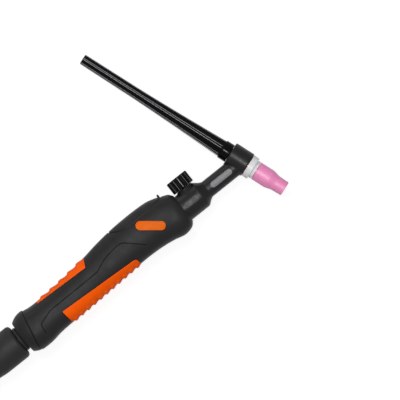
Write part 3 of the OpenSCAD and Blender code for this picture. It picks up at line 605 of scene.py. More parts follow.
def lever_distance(back, z):
    """Rough signed distance to the lever's outline seen from above, negative inside. Near
    the middle it is enlarged, where it would otherwise fade out."""
    u = (np.abs(back - LEVER_MID) / (LEVER_LEN / 2)) ** LEVER_POWER
    v = (np.abs(z) / LEVER_HALF_W) ** LEVER_POWER
    level = (u + v) ** (1 / LEVER_POWER)
    reach = np.hypot(back - LEVER_MID, z)
    return reach * (1 - 1 / np.maximum(level, 1e-6)) * np.where(level > 0.2, 1, 4)


def capsule_distance(x, y, centre, length, width, turn):
    """Signed distance to a round-ended strip, in the side view."""
    dx, dy = x - centre[0], y - centre[1]
    along = dx * math.cos(turn) + dy * math.sin(turn)
    across = -dx * math.sin(turn) + dy * math.cos(turn)
    reach = np.maximum(np.abs(along) - (length - width) / 2, 0)
    return np.hypot(reach, across) - width / 2


def grip_outline(edge, ends):
    """Closed outline of a grip in the side view, as [place behind, height]."""
    front, rear = ([[back, height] for height, back in end] for end in ends)
    over = 26                        # above the whole handle
    if edge[0][1] > 0:
        return [[front[-1][0], over]] + front[::-1] + rear + [[rear[-1][0], over]]
    return front + rear[::-1]


def run_along(points):
    """Length of a line of points up to each of them."""
    return np.r_[0, np.cumsum(np.linalg.norm(np.diff(points, axis=0), axis=1))]


# ---------- pieces of the handle ----------

# Depths of the recesses in the shells' skin, and how far the seats of the inset pieces lie
# inside the edges of those pieces, in seam gaps
GRIP_SEAT, LEVER_SEAT, BADGE_SEAT, PARTING_LINE = 2.0, 2.6, 1.0, 0.3
GRIP_OVERLAP, BADGE_OVERLAP = 3.5, 2.5
LEVER_GAP = 0.8                      # the window is this much wider than the lever all round
WINDOW_EDGE = -1.0                   # the hole begins this far inside the window's outline
PLAIN_DEPTH, WALL = 1.4, 1.0         # the wall, thinner behind the seats than elsewhere
REAR_EDGE = np.array([0.35, 0.12, 0.03, 0])      # sinking of the last rows, which rounds them
FRONT_LIP = [[0.15, 2.2], [0.15, 0.5], [0.4, 0.05]]      # off the bulge, behind the front
LIP_DEPTH = 2.6
REAR_GAP = 0.3
HALF_PARTING = 0.06                  # half of the gap between the two shells
FAR = 9.0                            # a distance at which an edge no longer matters


def handle_grid(step):
    """Places and angles of points over the whole handle, from the front lip to the rear
    seam. The columns are evenly spaced, and the rows lie closer together at both ends."""
    fine = np.linspace(0, np.pi, 2001)
    run = run_along(handle_point(np.full(fine.shape, HANDLE_FRONT + 60), fine))
    half = np.interp(np.linspace(0, run[-1], int(round(run[-1] / step)) + 1), run, fine)
    angle = np.r_[half, 2 * np.pi - half[-2:0:-1]]
    rows = int(round(HANDLE_LEN / step))
    share = np.linspace(0, 1, rows + 1)
    closer = 0.25
    share = share - closer * np.sin(2 * np.pi * share) / (2 * np.pi)
    end = np.full(angle.shape, HANDLE_END)
    for _ in range(4):               # the seam's place depends on the height, and that on it
        end = seam_place(handle_point(end, angle)[:, 1], REAR_GAP)
    back = HANDLE_FRONT + share[:, None] * (end[None] - HANDLE_FRONT)
    return back, np.repeat(angle[None], rows + 1, 0)


def recess_depth(points, shape, left):
    """Depth of every recess in a shell's skin, along the normal, with the signed distance to
    the lever's window and the share of painted shade in recesses and along the grips' and badge's
    edges."""
    back, y, z = -points[..., 0], points[..., 1], points[..., 2]
    gap = shape.seam_gap / MM
    depth = PARTING_LINE * (1 - smooth_step(np.abs(z), 0.1, 0.5))
    off_edge = np.full(back.shape, FAR)
    for edge, ends in ((UPPER_EDGE, UPPER_ENDS), (LOWER_EDGE, LOWER_ENDS)):
        away = distance_to_outline(back, y, grip_outline(edge, ends))
        off_edge = np.minimum(off_edge, np.abs(away))
        seat = GRIP_SEAT * smooth_step(-away - GRIP_OVERLAP * gap, -0.15, 0.35)
        depth = np.maximum(depth, seat)
    above = y > 8
    window = lever_distance(back, z) - LEVER_GAP
    depth = np.maximum(depth, LEVER_SEAT * smooth_step(-window, -0.1, 0.35) * above)
    if left:
        badge = capsule_distance(-back, y, (-BADGE_BACK, BADGE_UP), BADGE_LEN, BADGE_W,
                                 BADGE_TURN)
        off_edge = np.minimum(off_edge, np.abs(badge))
        seat = BADGE_SEAT * smooth_step(-badge - BADGE_OVERLAP * gap, -0.1, 0.3)
        depth = np.maximum(depth, seat)
    # Painted shade: dark colour where recesses are deeper than 0.25 mm and near the grips' and
    # badge's outlines, where shade falls.
    painted_shade_share = np.maximum(smooth_step(depth, 0.25, 0.5), 1 - smooth_step(off_edge, 0.3, 0.8))
    return depth, np.where(above, window, FAR), painted_shade_share


def build_shell(left, grid, shape):
    """One half of the handle: outer skin with its recesses, lip, inner skin and edges."""
    side, sharp = "left" if left else "right", 42
    back, angle = grid
    base = handle_point(back, angle)
    normal = outward(base, normals_of(base, True))
    half = back.shape[1] // 2
    cols = np.arange(0, half + 1) if left else np.r_[np.arange(half, back.shape[1]), 0]
    base, normal = base[:, cols], normal[:, cols]
    base[:, [0, -1], 2] = HALF_PARTING if left else -HALF_PARTING
    depth, window, painted_shade_share = recess_depth(base, shape, left)
    from_end = np.minimum(np.arange(len(base))[::-1], len(REAR_EDGE) - 1)
    depth = np.maximum(depth, REAR_EDGE[from_end][:, None])
    outer = base - normal * depth[..., None]
    inner = base - normal * (np.maximum(depth, PLAIN_DEPTH) + WALL)[..., None]
    direction = unit(base[0] * [0, 1, 1])
    added = len(FRONT_LIP)
    lip = [direction * (BULGE_R + off) + [-(HANDLE_FRONT + behind), -NECK_DROP, 0]
           for off, behind in FRONT_LIP]
    outer = np.concatenate([lip, outer])
    inner = np.concatenate([np.repeat(inner[:1], added, 0), inner])
    inner[:added, :, 0] = -(HANDLE_FRONT + LIP_DEPTH)
    within = np.pad(window < WINDOW_EDGE, ((added, 0), (0, 0)))
    painted_shade_share = np.pad(painted_shade_share, ((added, 0), (0, 0)))
    hole = within[:-1, :-1] & within[1:, 1:] & within[:-1, 1:] & within[1:, :-1]
    points, faces = thick_skin(outer, inner, ~hole)
    # The outer skin carries painted shade in its recesses and seams; the inner skin carries none.
    shell = make_piece(side + "_shell_skin", points, faces, "moulded_nylon", "torch",
                       [side + "_shell"],
                       marks={"painted_shade": np.concatenate([painted_shade_share, 0 * painted_shade_share])})
    combine(shell, groove_bar(left, shape.groove_width / MM / 2), "DIFFERENCE")
    shade(shell, sharp)
    if not left:
        bore_screw_holes(shell, sharp)
    return shell


def bore_screw_holes(piece, sharp):
    """Bores a piece where the screws are driven in from the right side."""
    start, beyond = SCREW_SEAT - 0.4, 30
    for back, height in SCREWS:
        inwards = axis_frame([-back, height, 0], [0, 0, -1], [1, 0, 0])
        combine(piece, solid_rod(inwards, start, beyond, SCREW_HOLE_R, 72), "DIFFERENCE")
    shade(piece, sharp)


def groove_bar(left, radius):
    """A round bar that follows the styling groove and thins out at both ends."""
    step, sides, thinning = 0.7, 14, (-1.5, 3)
    line = rounded_line(GROOVE, 1.5)
    run = run_along(line)
    at = np.linspace(0, run[-1], int(run[-1] / step))
    back, y = np.interp(at, run, line[:, 0]), np.interp(at, run, line[:, 1])
    centre = np.stack([-back, y, side_z(back, y) * (1 if left else -1)], -1)
    along = np.gradient(centre, axis=0)
    across = unit(np.cross(along, [0, 0, 1]))
    out = unit(np.cross(along, across))
    size = radius * smooth_step(np.minimum(at, run[-1] - at), *thinning)
    turn = full_turn(sides)[None, :, None]
    rings = centre[:, None] + size[:, None, None] * (
        across[:, None] * np.cos(turn) + out[:, None] * np.sin(turn))
    ends = np.repeat(centre[[0, -1], None], sides, 1)
    bar = raw_solid(np.concatenate([ends[:1], rings, ends[1:]]))
    # The bar carries painted shade, which colours the groove's cut faces dark.
    painted_shade_share = bar.data.attributes.new("painted_shade", "FLOAT", "POINT")
    painted_shade_share.data.foreach_set("value", [1.0] * len(bar.data.vertices))
    return bar


def thick_skin(outer, inner, kept):
    """Points and faces of two grids that lie over each other, with walls round the cells
    that are kept."""
    quads = grid_quads(*outer.shape[:2])
    rows, cols = kept.shape
    shift = outer.shape[0] * outer.shape[1]
    faces = [quads[kept], quads[kept][:, ::-1] + shift]
    padded = np.pad(kept, 1)
    sides = {(-1, 0): (0, 1), (0, 1): (1, 2), (1, 0): (2, 3), (0, -1): (3, 0)}
    for (di, dj), (a, b) in sides.items():
        open_side = kept & ~padded[1 + di:rows + 1 + di, 1 + dj:cols + 1 + dj]
        start, end = quads[open_side][:, a], quads[open_side][:, b]
        faces.append(np.stack([start, end, end + shift, start + shift], 1))
    return np.concatenate([outer, inner]), np.concatenate(faces)


CREST = 0.82                         # place of the crest in a tooth's length


def tooth(phase):
    """Height of a grip's tooth from 0 to 1: a slow rise towards the rear, a quick fall."""
    phase = phase % 1
    return smooth_step(phase, 0.15, 0.78) * (1 - smooth_step(phase, 0.84, 0.98))


def build_grip(name, edge, ends, above, first, pitch, ribs, shape):
    """A soft grip that wraps the handle, with teeth over its middle. First is the place of
    the first tooth's crest."""
    rows, cols = (150, 110) if above else (200, 120)
    proud, edge_sink, thick = 0.14, 0.5, 1.85
    section_radius = 15              # roughly, to turn an angle into a length
    t = np.linspace(0, 1, rows)[:, None] * np.ones((1, cols))
    v = np.linspace(-1, 1, cols)[None] * np.ones((rows, 1))
    (x0, y0), (x1, y1) = edge
    front, rear = np.array(ends[0]), np.array(ends[1])
    length = rear[0, 1] - front[0, 1]
    back = front[0, 1] + length * t
    for _ in range(8):               # places and heights settle on the slanted ends together
        limit = angle_at(back, y0 + (back - x0) / (x1 - x0) * (y1 - y0))
        angle = limit * v if above else np.pi + (np.pi - limit) * v
        height = handle_point(back, angle)[..., 1]
        start = np.interp(height, front[:, 0], front[:, 1])
        end = np.interp(height, rear[:, 0], rear[:, 1])
        back = back * 0.3 + 0.7 * (start + (end - start) * t)
    base = handle_point(back, angle)
    normal = outward(base, normals_of(base, False))
    rim = np.minimum(np.minimum(t, 1 - t) * length, (1 - np.abs(v)) * (
        np.abs(limit) if above else np.pi - limit) * section_radius)
    lift = proud - edge_sink * (1 - smooth_step(rim, 0, 0.35))
    near_middle = 1 - smooth_step(np.abs(base[..., 2]), 6.5, 9.5)
    phase = (back - (first - pitch * CREST)) / pitch
    lift = lift + shape.rib_height / MM * tooth(phase) * near_middle * (phase > 0) * (
        phase < ribs) * smooth_step(rim, 0, 1)
    points, faces = thick_skin(base + normal * lift[..., None], base - normal * thick,
                               np.ones((rows - 1, cols - 1), bool))
    grip = make_piece(name + "_skin", points, faces, "soft_elastomer", "torch",
                      [name])
    bore_screw_holes(grip, 50)
    return grip


def pill_rim(length, width):
    """Points round a strip with round ends, as many for any width."""
    arc_steps, straight_steps = 24, 40
    reach = (length - width) / 2
    turn = np.linspace(-np.pi / 2, np.pi / 2, arc_steps, endpoint=False)
    run = np.linspace(reach, -reach, straight_steps, endpoint=False)
    arc = np.stack([reach + width / 2 * np.cos(turn), width / 2 * np.sin(turn)], -1)
    line = np.stack([run, np.full(straight_steps, width / 2)], -1)
    half = np.concatenate([arc, line])
    return np.concatenate([half, -half])


def pill_grid(length, width):
    """Rows of points from a round-ended strip's middle line to its rim, and their insets."""
    rim_width = 1.0                  # where the rows lie closer together
    inset = np.concatenate([np.linspace(width / 2, rim_width, 8),
                            np.linspace(rim_width, 0, 13)[1:]])
    rows = [pill_rim(length - 2 * i, width - 2 * i) for i in inset]
    return np.array(rows), inset[:, None]


def raised_plate(name, x, y, surface, rise, depth, finish, replaced=(), marks=None):
    """A plate over a surface: rows from its middle to its rim, and back along its underside."""
    points = np.concatenate([np.stack([x, y, surface + rise], -1),
                             np.stack([x, y, surface - depth], -1)[::-1]])
    return make_piece(name, points, tube_faces(*points.shape[:2]), finish, "torch",
                      replaced, 50, marks)


def build_badge(shape):
    """The bare badge: a pill-shaped plate with a soft rim round a lower face."""
    face_sink, rim_round, depth = 0.14, 0.3, 0.9
    flat, inset = pill_grid(BADGE_LEN, BADGE_W)
    c, s = math.cos(BADGE_TURN), math.sin(BADGE_TURN)
    x = -BADGE_BACK + flat[..., 0] * c - flat[..., 1] * s
    y = BADGE_UP + flat[..., 0] * s + flat[..., 1] * c
    rise = shape.badge_lift / MM - face_sink * smooth_step(inset, 0.55, 0.8)
    rise = rise - rim_round * (1 - smooth_step(inset, 0, 0.3))
    return raised_plate("badge_plate", x, y, side_z(-x, y), rise, depth, "badge_plastic",
                        ["badge"])


def build_lever():
    """The long lever that follows the handle's top, with its lip, post and hinge lug."""
    rim_round, wall, thick = 0.4, 0.55, 2.3
    angle = full_turn(240)
    rim = np.stack([LEVER_LEN / 2 * bent(np.cos(angle), LEVER_POWER),
                    LEVER_HALF_W * bent(np.sin(angle), LEVER_POWER)], -1)
    share = np.linspace(0, 1, 49) ** 0.8         # rings lie closer together near the rim
    flat = share[:, None, None] * rim
    back, z = LEVER_MID - flat[..., 0], flat[..., 1]
    height = top_height(back, z)
    inset = (1 - share)[:, None] * np.linalg.norm(rim, axis=1)
    rise = -rim_round * (1 - smooth_step(inset, 0, 0.7))
    top = np.stack([-back, height + rise, z], -1)
    side = np.stack([-back, height - wall, z], -1)[-1:]
    low = np.stack([-back, height - thick, z], -1)[::-1]
    points = np.concatenate([top, side, low])
    # Painted shade on the lever's side wall and underside, which darkens the seam round it.
    painted_shade_share = np.concatenate([0 * inset, 0 * inset[:1] + 1, 0 * inset + 1])
    make_piece("lever_skin", points, tube_faces(*points.shape[:2]), "moulded_nylon", "lever",
               ["trigger_lever"], sharp=50, marks={"painted_shade": painted_shade_share})
    lip_back = LEVER_START + 1.0
    lip_up = float(top_height(np.array(lip_back), np.array(0.0)))
    lip = (-lip_back - 0.25, lip_up + 0.95, 0)
    over_switch, round_pin = (-88, 19.5, 0), (-116.9, 17.2, 0)
    lever_block("lever_lip", lip, (1.7, 2.9, 8.0), fillet=0.8)
    lever_block("lever_post", over_switch, (4, 4.4, 4), fillet=0.4)
    lever_block("lever_lug", round_pin, (5.2, 8.0, 7.8), fillet=0.5)


def lever_block(name, centre, size, fillet):
    """A block of the lever with rounded edges."""
    mesh = bpy.data.meshes.new(name)
    block = bmesh.new()
    bmesh.ops.create_cube(block, size=1)
    bmesh.ops.scale(block, vec=Vector(size) * MM, verts=block.verts)
    bmesh.ops.bevel(block, geom=block.edges[:] + block.verts[:], offset=fillet * MM,
                    segments=4, profile=0.5, affect="EDGES")
    bmesh.ops.translate(block, verts=block.verts, vec=Vector(centre) * MM)
    block.to_mesh(mesh)
    block.free()
    dress(add_object(name, mesh), "moulded_nylon", "lever")


# ---------- head, neck and valve ----------

def raw_solid(points):
    """A closed raw solid from rows of points; the first and the last row fold together."""
    return mesh_object("raw", points, tube_faces(*points.shape[:2]), 0.001)


def solid_from_profile(axes, profile, count=96):
    """A plain turned solid, to be joined to a piece or cut out of it."""
    return raw_solid(revolve(axes, np.array(profile, float), count))


def solid_rod(axes, start, end, radius, count=96):
    """A plain round rod from one place on an axis to another."""
    return solid_from_profile(axes, [[start, 0], [start, radius], [end, radius], [end, 0]],
                              count)


def side_pad(start, end, top):
    """A round-ended raw pad with a crowned top that stands up on the left side."""
    half_width = 4.1
    crown = [(0, 0), (0, half_width), (top - 0.7, half_width), (top - 0.3, 3.3),
             (top - 0.06, 2.2), (top, 0)]
    rows = []
    for z, half in crown:
        rim = pill_rim(end - start + 2 * half, 2 * half)
        rows.append(np.stack([rim[:, 0] - (start + end) / 2, rim[:, 1] - NECK_DROP,
                              np.full(len(rim), z)], -1))
    return raw_solid(np.array(rows))


def combine(target, tool, operation):
    """Applies one boolean and removes the tool."""
    modifier = target.modifiers.new("join", "BOOLEAN")
    modifier.operation = operation
    modifier.object = tool
    modifier.solver = "MANIFOLD"
    apply_all(target)
    bpy.data.objects.remove(tool)


def apply_all(piece):
    """Replaces the mesh by what its modifiers make of it."""
    depsgraph = bpy.context.evaluated_depsgraph_get()
    mesh = bpy.data.meshes.new_from_object(piece.evaluated_get(depsgraph))
    piece.modifiers.clear()
    piece.data = mesh


def build_head_cover():
    """The moulded cover: barrel, neck, valve bulge and boss, blended into each other."""
    barrel_r, barrel_top, barrel_foot, bevel = 10.45, -11.4, 6.2, 0.6
    sleeve_r, sleeve_front, sleeve_end = 9.8, HANDLE_FRONT + 1.6, HANDLE_FRONT + 4
    boss_top = 12.5
    voxel, rounds = 0.34, 9          # the remesh and the softening that blend the forms
    cover = solid_from_profile(ELECTRODE, [
        [barrel_top, 0], [barrel_top, barrel_r - bevel], [barrel_top + bevel, barrel_r],
        [barrel_foot - bevel, barrel_r], [barrel_foot, barrel_r - bevel], [barrel_foot, 0]])
    parts = [
        solid_from_profile(NECK, [
            [4, 0], [4, NECK_R], [36.5, NECK_R], [38.5, NECK_R + 1.0], [42.4, BULGE_R - 0.35],
            [43.6, BULGE_R], [sleeve_front, BULGE_R], [sleeve_front, sleeve_r],
            [sleeve_end, sleeve_r], [sleeve_end, 0]]),
        solid_from_profile(VALVE, [
            [0, 0], [0, 10], [6.3, 10], [8.3, 8.8], [10.3, 7.8], [boss_top - 0.3, 7.3],
            [boss_top, 7.1], [boss_top, 0]]),
        side_pad(47.2, 57.9, BULGE_R + 0.02)]
    for part in parts:
        combine(cover, part, "UNION")
    # Bores for the head's core, the valve's turret and the valve body in the bulge
    for axes, start, end, radius in ((ELECTRODE, -12, 7, 7.75), (VALVE, 3, 13, 4.65),
                                     (NECK, 44, HANDLE_FRONT + 5, 6.55)):
        combine(cover, solid_rod(axes, start, end, radius), "DIFFERENCE")
    remesh = cover.modifiers.new("skin", "REMESH")
    remesh.mode = "VOXEL"
    remesh.voxel_size = voxel * MM
    soften = cover.modifiers.new("soften", "SMOOTH")
    soften.factor = 0.5
    soften.iterations = rounds
    apply_all(cover)
    cover.name = "neck_cover"
    return dress(cover, "moulded_silicone", "torch", ["head_cover"], 60)


def build_neck_strip():
    """The raised strip along the neck's side, bare of lettering, with a soft rim."""
    start, end, half_width = 10.7, 32.8, 2.8
    proud, rim_round, face_sink, depth = 0.34, 0.3, 0.1, 0.5
    flat, inset = pill_grid(end - start, 2 * half_width)
    x, y = -(start + end) / 2 + flat[..., 0], flat[..., 1]
    inset = inset + 0 * y
    rise = proud - rim_round * (1 - smooth_step(inset, 0, 0.35)) - face_sink * smooth_step(
        inset, 0.5, 0.7)
    # Painted shade: a dark rim round the strip's edge, in place of the shade of a groove round it.
    bare = 1 - smooth_step(inset, 0.3, 0.5)
    return raised_plate("neck_strip", x, y - NECK_DROP, np.sqrt(NECK_R ** 2 - y ** 2), rise,
                        depth, "strip_print",
                        marks={"painted_shade": np.concatenate([bare, bare[::-1]])})


def build_knob():
    """The valve knob: narrow ridges between round flutes, chamfered at both ends."""
    radius, bottom, top, flutes = 9.85, 12.6, 23.1, 14
    flute_r, flute_out = 1.85, 0.95
    pitch, ridge_turn = 2 * np.pi / flutes, math.radians(3.6)

    def off_flute(angle):
        """Angle from the middle of the nearest flute."""
        return (angle - ridge_turn) % pitch - pitch / 2

    def off_crest(angle):
        """Distance round the rim from the nearest ridge's crest."""
        return radius * (pitch / 2 - np.abs(off_flute(angle)))

    def fluted(s, r, angle):
        across = radius * np.sin(off_flute(angle))
        cut = np.sqrt(np.maximum(flute_r ** 2 - across ** 2, 0)) - flute_out
        return np.where(r > radius - 1.2, r - np.maximum(cut, 0), r)

    # Painted highlight: a pale line along each ridge's crest.
    def painted_highlight(s, r, angle):
        crest = 0.45 * (1 - smooth_step(off_crest(angle), 0.1, 0.4))
        return crest * (r > radius - 0.2) * (s > bottom + 0.5) * (s < top - 0.5)

    def matt(s, r, angle):
        return smooth_step(off_crest(angle), 0.5, 0.9) * (r > radius - 0.2)

    profile = rounded([
        [13.6, 5.4], [bottom, 5.4, 0.1], [bottom, radius - 0.4, 0.1], [bottom + 0.4, radius, 0.2],
        [top - 0.4, radius, 0.2], [top, radius - 0.5, 0.2], [top, 3.4, 0.2], [top - 2.1, 3.1, 0.2],
        [top - 2.1, 1.4], [top - 4, 1.4], [top - 4, 2.0], [16, 2.0], [16, 5.4]])
    return lathe("valve_knob_body", VALVE, profile, "polished_phenolic", "valve_wheel",
                 ["valve_knob"], count=flutes * 26, closed=True, radius=fluted,
                 sharp=32, marks={"painted_highlight": painted_highlight, "matt": matt})


# ---------- electrode axis ----------

def cap_radius(s):
    """Outer radius of the cap's fluted body: a flare that runs out into a slim rod."""
    flare, flare_len, fade = 2.5, 84, 1.35
    rod_r, tip_r, taper_len = 4.85, 4.55, 60
    t = np.minimum(1, (s - CAP_COLLAR[1]) / flare_len)
    slim = tip_r + np.minimum(0.3, 0.3 * (CAP_TIP - s) / taper_len)
    return np.where(t >= 1, slim, rod_r + flare * np.maximum(1 - t, 0) ** fade)


def build_back_cap():
    """The long cap: collar, six flutes and ridges that narrow with the rod to the tip."""
    pitch, flute_half, turn = np.pi / 3, math.radians(21.8), math.radians(21.4)
    flute_depth, edge, chamfer, collar_r, inside_r = 0.6, 0.1, 0.35, 8, 4.75
    start, end = CAP_COLLAR
    any_r = 6.0                      # the fluted body's radius comes from cap_radius

    def flute_place(angle):
        """How far out of its flute's middle a point is: 1 at the edge of the ridge."""
        return np.abs((np.pi + angle - turn + pitch / 2) % pitch - pitch / 2) / flute_half

    def fluted(s, r, angle):
        level = 1 - flute_place(angle) ** 2
        cut = flute_depth * (level + np.sqrt(level ** 2 + edge ** 2)) / (
            1 + np.sqrt(1 + edge ** 2))
        on_body = (-s > end + 0.25) & (r > 3)
        return np.where(on_body, cap_radius(-s) - cut - np.maximum(chamfer - (CAP_TIP + s), 0), r)

    # Painted highlight: pale lines along the edges of the ridges.
    def painted_highlight(s, r, angle):
        off_edge = np.abs(flute_place(angle) - 1.04) * flute_half * cap_radius(-s)
        return (1 - smooth_step(off_edge, 0.1, 0.3)) * (-s > end + 0.5) * (
            -s < CAP_TIP - 0.5) * (r > 3)

    body = np.r_[np.linspace(end + 0.4, CAP_TIP - 1.2, 90), CAP_TIP - 0.7, CAP_TIP - 0.35, CAP_TIP]
    profile = np.concatenate([
        [[-9.0, 0.0]],
        rounded([[-9.0, 1.7], [-5.6, 1.7], [-3.5, 2.3], [-3.5, 4.3, 0.2], [-4, inside_r],
                 [-start, inside_r, 0.1], [-start, collar_r, 0.5], [-end, collar_r, 0.5],
                 [-end - 0.2, 7.2]]),
        [[-s, any_r] for s in body], [[-CAP_TIP, 2.2], [-CAP_TIP + 0.25, 0.0]]])
    return lathe("cap_body", ELECTRODE, profile, "polished_phenolic", "cap",
                 ["back_cap"], count=6 * 48, radius=fluted, sharp=60, marks={"painted_highlight": painted_highlight})


def build_insulator():
    """The white ring: a wide disc, a groove and a narrower step towards the nozzle."""
    bore_r, seat_r, disc_r, groove_r = 5.9, 8.1, 9.7, 7.5
    start, seat, disc_end, end = 6.3, 7.1, 11.3, 14.2
    profile = rounded([
        [seat, bore_r], [seat, seat_r], [start, seat_r], [start, disc_r, 0.25],
        [disc_end, disc_r, 0.45], [11.4, 8.1, 0.15], [12.0, groove_r, 0.1], [12.4, 7.9, 0.15],
        [end, 7.8, 0.3], [end, bore_r]])
    return lathe("insulator_body", ELECTRODE, profile, "turned_ptfe", "insulator",
                 ["insulator_ring"], closed=True)


def build_nozzle():
    """The alumina nozzle: straight base, waist and slim mouth, with a stepped bore."""
    base_r, neck_r, bore_r, mouth_r = 7.9, 6.45, 5.15, 4.75
    start, waist_start, waist_len, mouth = 14.4, 26.0, 7.6, 42.0
    waist = [[waist_start + waist_len * t, base_r + (neck_r - base_r) * t * t * (3 - 2 * t)]
             for t in np.linspace(0, 1, 13)]
    profile = np.concatenate([
        rounded([[start, bore_r], [start, base_r, 0.7], [24.5, base_r]]), waist,
        rounded([[34.5, 6.4], [mouth, 6.15, 0.45], [mouth, mouth_r, 0.4], [33.6, mouth_r],
                 [30, bore_r], [start, bore_r]])])
    return lathe("nozzle_body", ELECTRODE, profile[:-1], "fired_alumina", "gas_nozzle",
                 ["nozzle"], closed=True)


# ---------- knuckle and cable support ----------

def build_rear_collar():
    """The domed collar behind the slanted seam, open round the ball's neck."""
    count, steps, opening = 160, 22, math.radians(54)
    seam_gap, edge_round, inner_r, throat_r = 0.25, 0.35, 14.6, 14.9
    spigot_len, spigot_width = 2.5, 0.85
    angle = full_turn(count)
    polar = np.full(count, math.pi / 2)
    for _ in range(30):              # the seam's place depends on the height, and that on it
        height = -BALL_DROP + DOME_R * np.sin(polar) * np.cos(angle)
        behind = seam_place(height, -seam_gap) - BALL_BACK
        polar = np.arccos(np.clip(behind / DOME_R, -1, 1))
    share = np.linspace(0, 1, steps)[:, None]
    sweep = polar + (opening - polar) * share
    edge = edge_round * (1 - smooth_step(share * steps, 0, 1.6))
    lip = [(opening - 0.015, DOME_R - 0.35), (opening - 0.02, DOME_R - 1.0),
           (opening + 0.005, throat_r)]
    rings = [*zip(sweep, DOME_R - edge), *lip, *((p, inner_r) for p in sweep[::-1])]
    rows = [np.stack([-BALL_BACK - r * np.cos(p) + 0 * angle,
                      -BALL_DROP + r * np.sin(p) * np.cos(angle),
                      r * np.sin(p) * np.sin(angle)], -1) for p, r in rings]
    # A spigot that reaches into the shells, so that nothing shows through the seam
    wide = rows[0] + (rows[-1] - rows[0]) * spigot_width
    forward = np.array([spigot_len, 0, 0])
    rows += [rows[-1] + forward, wide + forward, wide]
    return make_piece("dome_collar", np.array(rows), tube_faces(len(rows), count, True),
                      "moulded_nylon", "torch", ["rear_collar"], sharp=45)


def build_knuckle():
    """The ball with its neck ring and the journal that carries the cable support."""
    ball_r, neck_r, ring_r, journal_r, bore_r, journal_end = 13.05, 9.3, 10.9, 9.0, 6.5, 26.6
    ring_start, ring_end = 12.3, 13.9
    polar = np.radians(np.linspace(126, 47, 30))
    ball = np.stack([ball_r * np.cos(polar), ball_r * np.sin(polar)], -1)
    profile = np.concatenate([
        rounded([[journal_end, bore_r], [-5.0, bore_r], [-7.67, 9.0], [-7.67, 10.4]]), ball,
        rounded([[9.6, neck_r], [10.6, neck_r], [ring_start, ring_r, 0.4],
                 [ring_end, ring_r, 0.35], [ring_end, journal_r], [journal_end, journal_r],
                 [journal_end, bore_r]])])
    return lathe("knuckle_body", BALL, profile[:-1], "moulded_epdm", "ball",
                 ["knuckle_ball"], closed=True)


def build_support():
    """The cable support: a rounded shoulder, a plain barrel and a drawn-in rear end."""
    barrel_r, cable_r, journal_r, clip_r = 15.27, 7.05, 9.1, 10.2
    start, barrel_end, end, clip_start = 14.5, 38.5, 54.3, 24.2
    profile = rounded([
        [start, journal_r], [start, barrel_r, 3.4], [barrel_end, barrel_r, 2.0], [46, 14.5, 1.5],
        [end, 14.0, 2.2], [54.5, 8.0, 0.8], [53.3, cable_r], [33, cable_r], [27.5, clip_r],
        [27, clip_r], [clip_start, clip_r], [clip_start, journal_r]])
    return lathe("support_body", BALL, profile, "moulded_epdm", "support",
                 ["cable_support"], closed=True)


# ---------- operators ----------

class TORCH_OT_shells(bpy.types.Operator):
    """Build the two handle shells with their recesses, groove and screw holes"""
    bl_idname = "torch.shells"
    bl_label = "Handle shells"

    def execute(self, context):
        shape = context.scene.torch_shape
        grid = handle_grid(shape.grid_step / MM)
        build_shell(True, grid, shape)
        build_shell(False, grid, shape)
        return {"FINISHED"}


class TORCH_OT_grips(bpy.types.Operator):
    """Build the two soft grips with their teeth"""
    bl_idname = "torch.grips"
    bl_label = "Soft grips"

    def execute(self, context):
        shape = context.scene.torch_shape
        build_grip("upper_grip", UPPER_EDGE, UPPER_ENDS, above=True, first=UPPER_FRONT + 8.1,
                   pitch=9.85, ribs=5, shape=shape)
        build_grip("lower_grip", LOWER_EDGE, LOWER_ENDS, above=False, first=LOWER_FRONT + 4.6,
                   pitch=6.6, ribs=11, shape=shape)
        return {"FINISHED"}


class TORCH_OT_badge(bpy.types.Operator):
    """Build the bare badge on the left side"""
    bl_idname = "torch.badge"
    bl_label = "Badge"

    def execute(self, context):
        build_badge(context.scene.torch_shape)
        return {"FINISHED"}


class TORCH_OT_lever(bpy.types.Operator):
    """Build the lever with its front lip, switch post and hinge lug"""
    bl_idname = "torch.lever"
    bl_label = "Lever"

    def execute(self, context):
        build_lever()
        return {"FINISHED"}


class TORCH_OT_neck(bpy.types.Operator):
    """Build the moulded head and neck cover and its bare raised strip"""
    bl_idname = "torch.neck"
    bl_label = "Head and neck"

    def execute(self, context):
        build_head_cover()
        build_neck_strip()
        return {"FINISHED"}


class TORCH_OT_valve_knob(bpy.types.Operator):
    """Build the fluted knob of the gas valve"""
    bl_idname = "torch.valve_knob"
    bl_label = "Valve knob"

    def execute(self, context):
        build_knob()
        return {"FINISHED"}


class TORCH_OT_electrode_line(bpy.types.Operator):
    """Build the back cap, the insulator ring and the gas nozzle"""
    bl_idname = "torch.electrode_line"
    bl_label = "Cap, ring and nozzle"

    def execute(self, context):
        build_back_cap()
        build_insulator()
        build_nozzle()
        return {"FINISHED"}


class TORCH_OT_knuckle(bpy.types.Operator):
    """Build the domed collar, the ball and the cable support"""
    bl_idname = "torch.knuckle"
    bl_label = "Knuckle and cable support"

    def execute(self, context):
        build_rear_collar()
        build_knuckle()
        build_support()
        return {"FINISHED"}


class TORCH_OT_inner_parts(bpy.types.Operator):
    """Give the inner pieces and fasteners their metals, rubbers and plastics"""
    bl_idname = "torch.inner_parts"
    bl_label = "Inner pieces"

    def execute(self, context):
        finishes = {
            "turned_brass": ["head_core", "neck_tube", "valve_body", "hose_nut", "gland_nut",
                             "collet_body"],
            "drawn_copper": ["collet"],
            "zinc_steel": ["valve_spindle", "knob_screw", "shell_screws", "lever_pin",
                           "swivel_clip"],
            "nitrile_rubber": ["valve_o_ring", "cap_o_ring"],
            "seat_acetal": ["ball_seat"],
            "grey_polyester": ["micro_switch"],
            "red_acetal": ["switch_plunger"]}
        for finish, nodes in finishes.items():
            for node in nodes:
                for material_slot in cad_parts[node].material_slots:
                    material_slot.material = material(finish)
        return {"FINISHED"}


